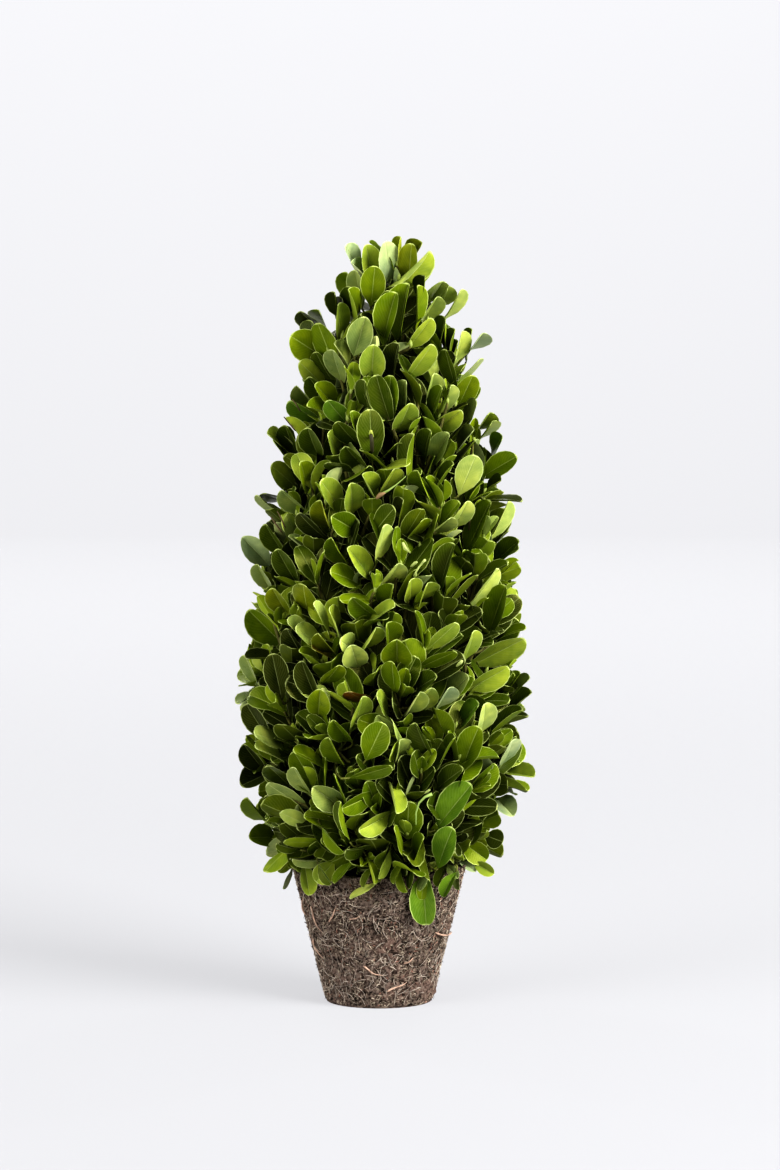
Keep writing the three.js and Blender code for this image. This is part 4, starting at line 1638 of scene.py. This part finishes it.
def on_ray(column, row, depth):
    """The point that the picture shows at a column and row, for its depth along Y."""
    ray = (
        view_on * CAMERA_DISTANCE
        + Vector(((column - PICTURE_WIDTH / 2) * metres_per_pixel, 0, 0))
        + view_up * (PICTURE_HEIGHT / 2 - row) * metres_per_pixel
    )
    return camera.location + ray * ((depth - camera.location.y) / ray.y)


def face_point(column, row):
    """The point of the plant's clipped face that the picture shows at a column and row."""
    depth = 0
    for _ in range(FACE_ROUNDS):
        spot = on_ray(column, row, depth)
        reach = outline_radius(spot.z)
        if spot.z < FACE_RIM_HEIGHT:
            reach = max(reach, pot_radius(spot.z) + FACE_OVER_POT)
        depth = -math.sqrt(max(reach**2 - (spot.x - lean_at(spot.z)) ** 2, 0))
    return on_ray(column, row, depth)


def face_leaf(number, row, shift):
    """A leaf of the plant's face, from its row in the list and a shift from front to back."""
    foot_column, foot_row, tip_column, tip_row, wide, tone, *before = row
    tip = face_point(tip_column, tip_row)
    tip = on_ray(tip_column, tip_row, tip.y - FACE_PROUD + shift - sum(before) / 1000)
    seen = math.hypot(tip_column - foot_column, tip_row - foot_row) * metres_per_pixel
    usual = FACE_LEAF_LENGTH * (1 + FACE_LENGTH_SCATTER * swing(number, 3))
    length = max(FACE_LEAST_SLANT * seen, usual)
    slant = math.sqrt(length**2 - seen**2)
    if tip.z < FACE_RIM_HEIGHT:
        slant = min(slant, FACE_RIM_SLANT)
    foot = on_ray(foot_column, foot_row, tip.y + slant)
    blade = (tip - foot).normalized()
    length = (tip - foot).length
    half = LEAF_HALF_SHARE
    wide *= metres_per_pixel * FACE_WIDENING
    angle = 0
    if wide > FACE_SEEN_WIDTH * half * length:
        half = wide / (FACE_SEEN_WIDTH * length)
    else:
        angle = min(math.acos(wide / (2 * half * length)), MOST_TURNED)
    towards = (-view_on - blade * -view_on.dot(blade)).normalized()
    turned = [Matrix.Rotation(side * angle, 3, blade) @ towards for side in (1, -1)]
    turned.sort(key=lambda normal: normal.dot(to_key), reverse=tone in LIT_TONES)
    upper = turned[0]
    return {
        "length": length,
        "half": half,
        "fold": FACE_FOLD * (1 + FACE_FOLD_SCATTER * swing(number, 4)),
        "curl": FACE_CURL + FACE_CURL_SCATTER * swing(number, 5),
        "cup": FACE_CUP + FACE_CUP_SCATTER * swing(number, 6),
        "roll": FACE_ROLL,
        "wave": WAVE_SCATTER * swing(number, 7),
        "phase": WAVE_STARTS * chance(number, 8),
        "twist": FACE_TWIST_SCATTER * swing(number, 9),
        "tone": tone,
        "turned": np.array([blade.cross(upper), blade, upper]).T,
        "root": np.array(foot),
        "tip": tip,
        "seen": seen,
        "wide": wide,
    }


def settle(leaf):
    """Gives a leaf its check mesh, its middle and the number of faces in place that it cuts."""
    points = shaped(check_flat, leaf) @ leaf["turned"].T + leaf["root"]
    leaf["tree"] = BVHTree.FromPolygons(points.tolist(), check_faces)
    leaf["middle"] = Vector(points.mean(0))
    leaf["cuts"] = cuts_of(leaf["tree"], leaf["middle"])
    return leaf


def place_leaf(leaf):
    """Adds a leaf to those in place."""
    leaves.append(leaf)
    cells.setdefault(cell_of(leaf["middle"]), []).append(leaf)


def twig_middle(sprig):
    """The place halfway up a twig, where a shoot leaves it."""
    return sprig["root"].lerp(sprig["elbow"], 0.5)


model_sprigs = sprigs[:source_count]
shoots = []
for number, row in enumerate(FACE_LEAVES):
    tries = [settle(face_leaf(number, row, shift)) for shift in FACE_SHIFTS]
    leaf = min(tries, key=lambda tried: tried["cuts"])
    foot = Vector(leaf["root"])
    leaf["sprig"] = min(model_sprigs, key=lambda sprig: (twig_middle(sprig) - foot).length)
    place_leaf(leaf)
    start = twig_middle(leaf["sprig"])
    blade = (leaf["tip"] - foot).normalized()
    bend = foot - blade * SHOOT_BEND * (foot - start).length
    line = bent_line(start, bend, foot, SHOOT_STEPS)
    shoots.append(tube(line, np.linspace(*SHOOT_RADII, SHOOT_STEPS), TWIG_SIDES))
add_tubes("foliage_shoots", shoots, bark_material("leaf_shoot", *SHOOT_COLOURS))

# The small things among the leaves: a cut shoot, a withered stalk on its knot, two spent
# flowers, a curled bud stalk, and dead ends of twigs at the plant's left. Each is a thin stalk
# rooted behind the leaves, with its columns and rows in the picture from its foot on.
BIT_ROOT_DEPTH = 0.014
BIT_ROOT_RUN = 0.002
BIT_DEPTHS = (0.002, -0.006)
BIT_SIDES = 6
BIT_FOOT_SHARE = 0.6
BIT_ROUGHNESS = 0.7
BIT_TONES = {
    # The cut shoot's bark is darkened as painted shade, where it stands among the leaves
    "stub_bark": "#38351a",
    "stub_cut": "#a4ae50",
    "stalk_pale": "#93a85c",
    "flower_dry": "#b4bf76",
    "knot_tan": "#957a58",
    "twig_dead": "#5a4a2c",
}
LEAF_BITS = [
    {"tone": "stub_bark", "route": [(372, 450), (372, 442), (371, 435)], "wide": (4, 4, 4)},
    {"tone": "stub_cut", "route": [(372, 436), (371, 434), (371, 431)], "wide": (4, 4.6, 3)},
    {"tone": "knot_tan", "route": [(377, 498), (380, 495), (385, 493)], "wide": (3, 5, 1.6)},
    {
        "tone": "stalk_pale",
        "route": [(382, 494), (389, 490), (396, 485), (403, 479), (406, 476)],
        "wide": (3, 2.4, 1.4, 1, 0.6),
    },
    {
        "tone": "flower_dry",
        "route": [(415, 575), (416, 572), (419, 567), (423, 562), (425, 560)],
        "wide": (4, 1.8, 1.8, 2.4, 3),
    },
    {"tone": "flower_dry", "route": [(412, 566), (415, 563), (417, 562)], "wide": (3, 3.6, 1.5)},
    {"tone": "flower_dry", "route": [(409, 552), (405, 548), (403, 543)], "wide": (1.6, 4, 2.6)},
    {"tone": "flower_dry", "route": [(457, 666), (460, 663), (462, 661)], "wide": (2, 4, 2.6)},
    {"tone": "flower_dry", "route": [(425, 793), (428, 791), (430, 790)], "wide": (2, 2.8, 1)},
    {
        "tone": "stalk_pale",
        "route": [(416, 824), (416, 813), (419, 803), (425, 797), (432, 794)],
        "wide": (1.4, 1.6, 2, 2.6, 3.4),
    },
    {"tone": "twig_dead", "route": [(294, 429), (289, 423), (284, 417)], "wide": (1.7, 1.6, 1)},
    {"tone": "twig_dead", "route": [(299, 409), (296, 404), (292, 399)], "wide": (1.7, 1.6, 1)},
    {"tone": "twig_dead", "route": [(280, 530), (275, 523), (271, 517)], "wide": (1.9, 1.8, 1.4)},
    {"tone": "twig_dead", "route": [(284, 525), (281, 518), (277, 511)], "wide": (1.6, 1.5, 1)},
]


def leaf_bit(given):
    """A small thing among the leaves, as corners and faces."""
    route = given["route"]
    depths = np.linspace(*BIT_DEPTHS, len(route))
    line = []
    for (column, row), depth in zip(route, depths):
        line.append(on_ray(column, row, face_point(column, row).y + depth))
    run = (line[0] - line[1]).normalized() * BIT_ROOT_RUN
    line.insert(0, line[0] + run + view_on * BIT_ROOT_DEPTH)
    widths = [given["wide"][0] * BIT_FOOT_SHARE, *given["wide"]]
    return tube(line, np.array(widths) * metres_per_pixel / 2, BIT_SIDES)


for tone, code in BIT_TONES.items():
    bits = [leaf_bit(given) for given in LEAF_BITS if given["tone"] == tone]
    add_tubes(tone, bits, plain_material(tone, code, BIT_ROUGHNESS)[0])

# The rosettes' leaves by rule, sprig by sprig and from the bud down. Where one would run into
# the pot, stand out of the clipped face, hide a leaf that was placed there or cut through its
# neighbours, it is turned or opened by fixed steps, and left out if none of them helps.
HIDDEN_REACH = 0.88
# Where the draws of the leaves start, and how many a pair and a leaf have to themselves
FIRST_DRAW = 20
PAIR_DRAWS = 20
LEAF_DRAWS = 10

view_axes = np.array([[1, 0, 0], view_up]).T
face_middles = np.array([leaf["middle"] for leaf in leaves])
face_centres = face_middles @ view_axes
face_alongs = np.array([leaf["turned"][:, 1] for leaf in leaves]) @ view_axes
face_alongs /= np.linalg.norm(face_alongs, axis=1, keepdims=True)
face_asides = np.stack([-face_alongs[:, 1], face_alongs[:, 0]], 1)
face_half_lengths = np.array([leaf["seen"] for leaf in leaves]) / 2 * HIDDEN_REACH
face_half_widths = np.array([leaf["wide"] for leaf in leaves]) / 2 * HIDDEN_REACH


def hides_face_leaf(points):
    """True where a leaf would stand in front of a leaf of the plant's face."""
    gaps = (points @ view_axes)[None] - face_centres[:, None]
    along = np.einsum("fpi,fi->fp", gaps, face_alongs) / face_half_lengths[:, None]
    aside = np.einsum("fpi,fi->fp", gaps, face_asides) / face_half_widths[:, None]
    before = points[None, :, 1] < face_middles[:, 1, None]
    return bool(((along**2 + aside**2 < 1) & before).any())


for sprig in sprigs:
    seed = sprig["seed"]
    proudest = max(sprig["proud"], 0) + PROUDEST_LEAF
    first_turn = 360 * chance(seed, 7)
    for pair, given in enumerate(PAIRS):
        for half in (0, 1):
            use = FIRST_DRAW + pair * PAIR_DRAWS + half * LEAF_DRAWS
            leaf = {
                "length": given["length"] * (1 + swing(seed, use) * LENGTH_SCATTER),
                "half": LEAF_HALF_SHARE * (1 + swing(seed, use + 1) * WIDTH_SCATTER),
                "fold": given["fold"] * (1 + swing(seed, use + 2) * FOLD_SCATTER),
                "curl": CURL_MEAN + swing(seed, use + 3) * CURL_SCATTER,
                "cup": CUP_MEAN + swing(seed, use + 11) * CUP_SCATTER,
                "roll": ROLL_MEAN + swing(seed, use + 4) * ROLL_SCATTER,
                "wave": swing(seed, use + 5) * WAVE_SCATTER,
                "phase": chance(seed, use + 5) * WAVE_STARTS,
                "pair": pair,
                "sprig": sprig,
                "number": use,
            }
            turn = first_turn + pair * 90 + half * 180 + swing(seed, use + 6) * TURN_SCATTER
            spread = given["spread"] + swing(seed, use + 7) * SPREAD_SCATTER
            twist = swing(seed, use + 8) * TWIST_SCATTER
            facing = swing(seed, use + 9) * FACING_SCATTER
            best = None
            for change in LEAF_TRIES:
                tried = {**leaf, "twist": twist + change["twist"]}
                tried["length"] = leaf["length"] * change.get("size", 1)
                turned, root = leaf_frame(
                    sprig,
                    given["back"],
                    turn + change["turn"],
                    spread + change["spread"],
                    facing,
                )
                points = shaped(check_flat, tried) @ turned.T + root
                if meets_pot(points) or stands_out(points, proudest) or hides_face_leaf(points):
                    continue
                tried = settle(tried | {"turned": turned, "root": root})
                if best is None or tried["cuts"] < best["cuts"]:
                    best = tried
                if best["cuts"] == 0:
                    break
            if best is not None and best["cuts"] <= MOST_CUTS:
                place_leaf(best)

# The leaves' colours: deep green where they are old, fresher towards the bud, with sprays that
# are greyer, more yellow or turning. Leaves low on a twig are darker partly for age and partly as
# painted shade deep in the foliage. The underside is paler and matt. A midrib and faint side
# veins run along each blade, and a pale line along the margin is a painted highlight where the
# edge catches light.
LEAF_COLOURS = {
    "deep": ("#202a01", "#44510a"),
    "dark": ("#344402", "#586a12"),
    "middle": ("#4e6202", "#70841e"),
    "fresh": ("#607208", "#7e902e"),
    "bright": ("#7c8e34", "#96a858"),
    "lime": ("#94a458", "#acb978"),
    "waxy": ("#6a7a44", "#8a9868"),
    "olive": ("#606c0e", "#828c32"),
    "ochre": ("#6e4510", "#7a5a24"),
    "amber": ("#72680c", "#86802c"),
    "vivid": ("#52701e", "#6e883a"),
    # The palest grey-green below, used only on the plant's face, is partly painted sheen
    "frosted": ("#8a9c74", "#9eac88"),
}
TONES = list(LEAF_COLOURS)
# The rib colour serves the midrib and veins, and also the painted highlight along the margin
UPPER_SIDE = {"rib": "#dde6a4", "rib_share": 0.66, "roughness": 0.27, "gloss": 0.46}
UNDER_SIDE = {"rib": "#dfe6a6", "rib_share": 0.55, "roughness": 0.52, "gloss": 0.2}
SHEEN_TINT = "#e0e07c"
BLADE_BUMP = (0.55, 0.0004)
RIB_WIDTHS = (0.008, 0.03)
RIB_SHOWING = 0.5
RIB_HEIGHT = -0.6
# Where the pale line along the margin sets in: a painted highlight where the edge catches light
EDGE_HIGHLIGHT_SIDES = (0.46, 0.48)
EDGE_HIGHLIGHT_TIP = (0.965, 0.985)
EDGE_HIGHLIGHT_SHOWING = 0.95
VEIN_COUNT = 75
VEIN_SLANT = 62
VEIN_WANDER = 9
VEIN_RANGE = (-0.2, 1)
VEIN_SHOWING = 0.07
VEIN_HEIGHT = 0.07
WASHES = (60, 2)
WASH_RANGE = (0.35, 0.7)
WASH_GAIN = (1.55, 1.4, 1.2, 1)
MOTTLES = (240, 3)
MOTTLE_RANGE = (0.4, 0.75)
MOTTLE_GAIN = (1.3, 1.22, 1.3, 1)
MOTTLE_SHOWING = 0.7
MATT_RANGE = (0.3, 0.7)
MOTTLE_MATTNESS = 0.12
SPRAY_SHARES = {"deep": 0.4, "dark": 0.32, "middle": 0.2, "fresh": 0.08}
WAXY_SHARE = 0.05
FRESHEST_STEP = 1.5
# Each pair down the twig is darker, for age and partly as painted shade deeper in the foliage
AGE_AND_SHADE_STEP = 0.55
AGE_SCATTER = 0.9
YELLOWED = [
    {"azimuth": 60, "height": 0.19, "proud": 0, "tone": "olive"},
    {"azimuth": 130, "height": 0.24, "proud": 0, "tone": "ochre"},
]

blade_group, blade_in, blade_out = new_group(
    "leaf_blade",
    {
        "Leaf": "NodeSocketVector",
        "Place": "NodeSocketVector",
        "Blade": "NodeSocketColor",
        "Rib": "NodeSocketColor",
    },
    {"Color": "NodeSocketColor", "Roughness": "NodeSocketFloat", "Height": "NodeSocketFloat"},
)
parted = blade_group.nodes.new("ShaderNodeSeparateXYZ")
blade_group.links.new(blade_in.outputs["Leaf"], parted.inputs["Vector"])
off_rib = add_math(
    blade_group, "ABSOLUTE", add_math(blade_group, "SUBTRACT", parted.outputs["X"], 0.5)
)
rib = add_range(blade_group, off_rib, *RIB_WIDTHS, 1, 0)
# A pale line along the margin: painted highlight where the edge catches light
painted_edge_highlight = add_math(
    blade_group,
    "MAXIMUM",
    add_range(blade_group, off_rib, *EDGE_HIGHLIGHT_SIDES),
    add_range(blade_group, parted.outputs["Y"], *EDGE_HIGHLIGHT_TIP),
)
vein_run = add_math(
    blade_group,
    "SUBTRACT",
    add_math(blade_group, "MULTIPLY", parted.outputs["Y"], VEIN_COUNT),
    add_math(blade_group, "MULTIPLY", off_rib, VEIN_SLANT),
)
mottle = add_noise(blade_group, blade_in.outputs["Place"], *MOTTLES)
wash = add_noise(blade_group, blade_in.outputs["Place"], *WASHES)
vein_wander = add_math(blade_group, "MULTIPLY", mottle, VEIN_WANDER)
vein_wave = add_math(blade_group, "SINE", add_math(blade_group, "ADD", vein_run, vein_wander))
veins = add_range(blade_group, vein_wave, *VEIN_RANGE)
blade_tone = blade_in.outputs["Blade"]
line_tone = blade_in.outputs["Rib"]
washed = add_range(blade_group, wash, *WASH_RANGE)
toned = add_mix(blade_group, washed, blade_tone, WASH_GAIN, "MULTIPLY")
speckled = add_range(blade_group, mottle, *MOTTLE_RANGE, 0, MOTTLE_SHOWING)
mottled = add_mix(blade_group, speckled, toned, MOTTLE_GAIN, "MULTIPLY")
vein_share = add_math(blade_group, "MULTIPLY", veins, VEIN_SHOWING)
veined = add_mix(blade_group, vein_share, mottled, line_tone)
line_share = add_math(
    blade_group,
    "MAXIMUM",
    add_math(blade_group, "MULTIPLY", rib, RIB_SHOWING),
    add_math(blade_group, "MULTIPLY", painted_edge_highlight, EDGE_HIGHLIGHT_SHOWING),
)
lined = add_mix(blade_group, line_share, veined, line_tone)
matter = add_range(blade_group, mottle, *MATT_RANGE, 0, MOTTLE_MATTNESS)
relief = add_math(
    blade_group,
    "ADD",
    add_math(blade_group, "MULTIPLY", rib, RIB_HEIGHT),
    add_math(blade_group, "MULTIPLY", veins, VEIN_HEIGHT),
)
for label, value in (("Color", lined), ("Roughness", matter), ("Height", relief)):
    blade_group.links.new(value, blade_out.inputs[label])


def between(first, second, share):
    """A colour code part of the way from one to another."""
    mixed = [
        round(int(first[i : i + 2], 16) * (1 - share) + int(second[i : i + 2], 16) * share)
        for i in (1, 3, 5)
    ]
    return "#" + "".join(f"{part:02x}" for part in mixed)


def blade_material(name, code, side):
    """One side of a leaf, with its rib, its mottling and a painted highlight along its margin."""
    colours = {"Blade": code, "Rib": between(code, side["rib"], side["rib_share"])}
    material, tree, shader, blade = grained_material(
        name, code, side["roughness"], side["gloss"], blade_group, colours, BLADE_BUMP
    )
    own = tree.nodes.new("ShaderNodeUVMap")
    own.uv_map = "Leaf"
    tree.links.new(own.outputs["UV"], blade.inputs["Leaf"])
    rough = add_math(tree, "ADD", blade.outputs["Roughness"], side["roughness"])
    tree.links.new(rough, shader.inputs["Roughness"])
    shader.inputs["Specular Tint"].default_value = linear(SHEEN_TINT)
    return material


leaf_materials = []
for name, (upper_code, under_code) in LEAF_COLOURS.items():
    leaf_materials.append(blade_material(f"leaf_{name}", upper_code, UPPER_SIDE))
    leaf_materials.append(blade_material(f"leaf_{name}_under", under_code, UNDER_SIDE))


def spray_tone(sprig):
    """The place in the list of the tone that most of a sprig's leaves have."""
    draw = chance(sprig["seed"], 9)
    for tone, share in SPRAY_SHARES.items():
        draw -= share
        if draw < 0:
            break
    return TONES.index(tone)


def leaf_tone(leaf):
    """A leaf's tone: its spray's, but fresher near the bud and darker low on the twig, for age
    and partly as painted shade deeper in the foliage.
    """
    seed = leaf["sprig"]["seed"]
    if chance(seed, leaf["number"] + 8) < WAXY_SHARE:
        return "waxy"
    age_and_shade = FRESHEST_STEP - AGE_AND_SHADE_STEP * leaf["pair"] + AGE_SCATTER * swing(seed, leaf["number"] + 9)
    place = leaf["sprig"]["spray"] + round(age_and_shade)
    return TONES[min(max(place, 0), TONES.index("lime"))]


for sprig in sprigs:
    sprig["spray"] = spray_tone(sprig)
for leaf in leaves:
    if "tone" not in leaf:
        leaf["tone"] = leaf_tone(leaf)
for spot in YELLOWED:
    place = outline_point(spot)
    nearest = min(leaves, key=lambda leaf: (leaf["middle"] - place).length)
    nearest["tone"] = spot["tone"]

# The five masses of leaves. The leaves are joined by the mass that their sprig stands in, and
# each joined piece takes the place of its mass.
MASS_TOPS = {
    "foliage_skirt": 0.104,
    "foliage_lower": 0.168,
    "foliage_middle": 0.236,
    "foliage_upper": 0.306,
    "foliage_tip": 1,
}
SHARP_EDGE = math.radians(26)


def join_leaves(name, members):
    """One piece of leaves, with each leaf's own map across and along it."""
    placed = [shaped(leaf_shape, leaf) @ leaf["turned"].T + leaf["root"] for leaf in members]
    count = len(members)
    steps = np.arange(count)[:, None, None] * len(leaf_shape)
    faces = (leaf_faces[None] + steps).reshape(-1, 4)
    tones = np.array([TONES.index(leaf["tone"]) for leaf in members])
    slots = tones[:, None] * 2 + leaf_slots
    made = add_mesh(name, np.vstack(placed), faces, slots.ravel())
    made.data.uv_layers.new(name="Leaf").uv.foreach_set(
        "vector", np.tile(leaf_uvs.reshape(-1, 2), (count, 1)).astype(np.float32).ravel()
    )
    made.data.set_sharp_from_angle(angle=SHARP_EDGE)
    return made


bottom = 0
for mass, top in MASS_TOPS.items():
    members = [leaf for leaf in leaves if bottom <= leaf["sprig"]["height"] < top]
    piece = join_leaves(mass.replace("foliage", "leaves"), members)
    dress(piece, leaf_materials, [mass])
    bottom = top
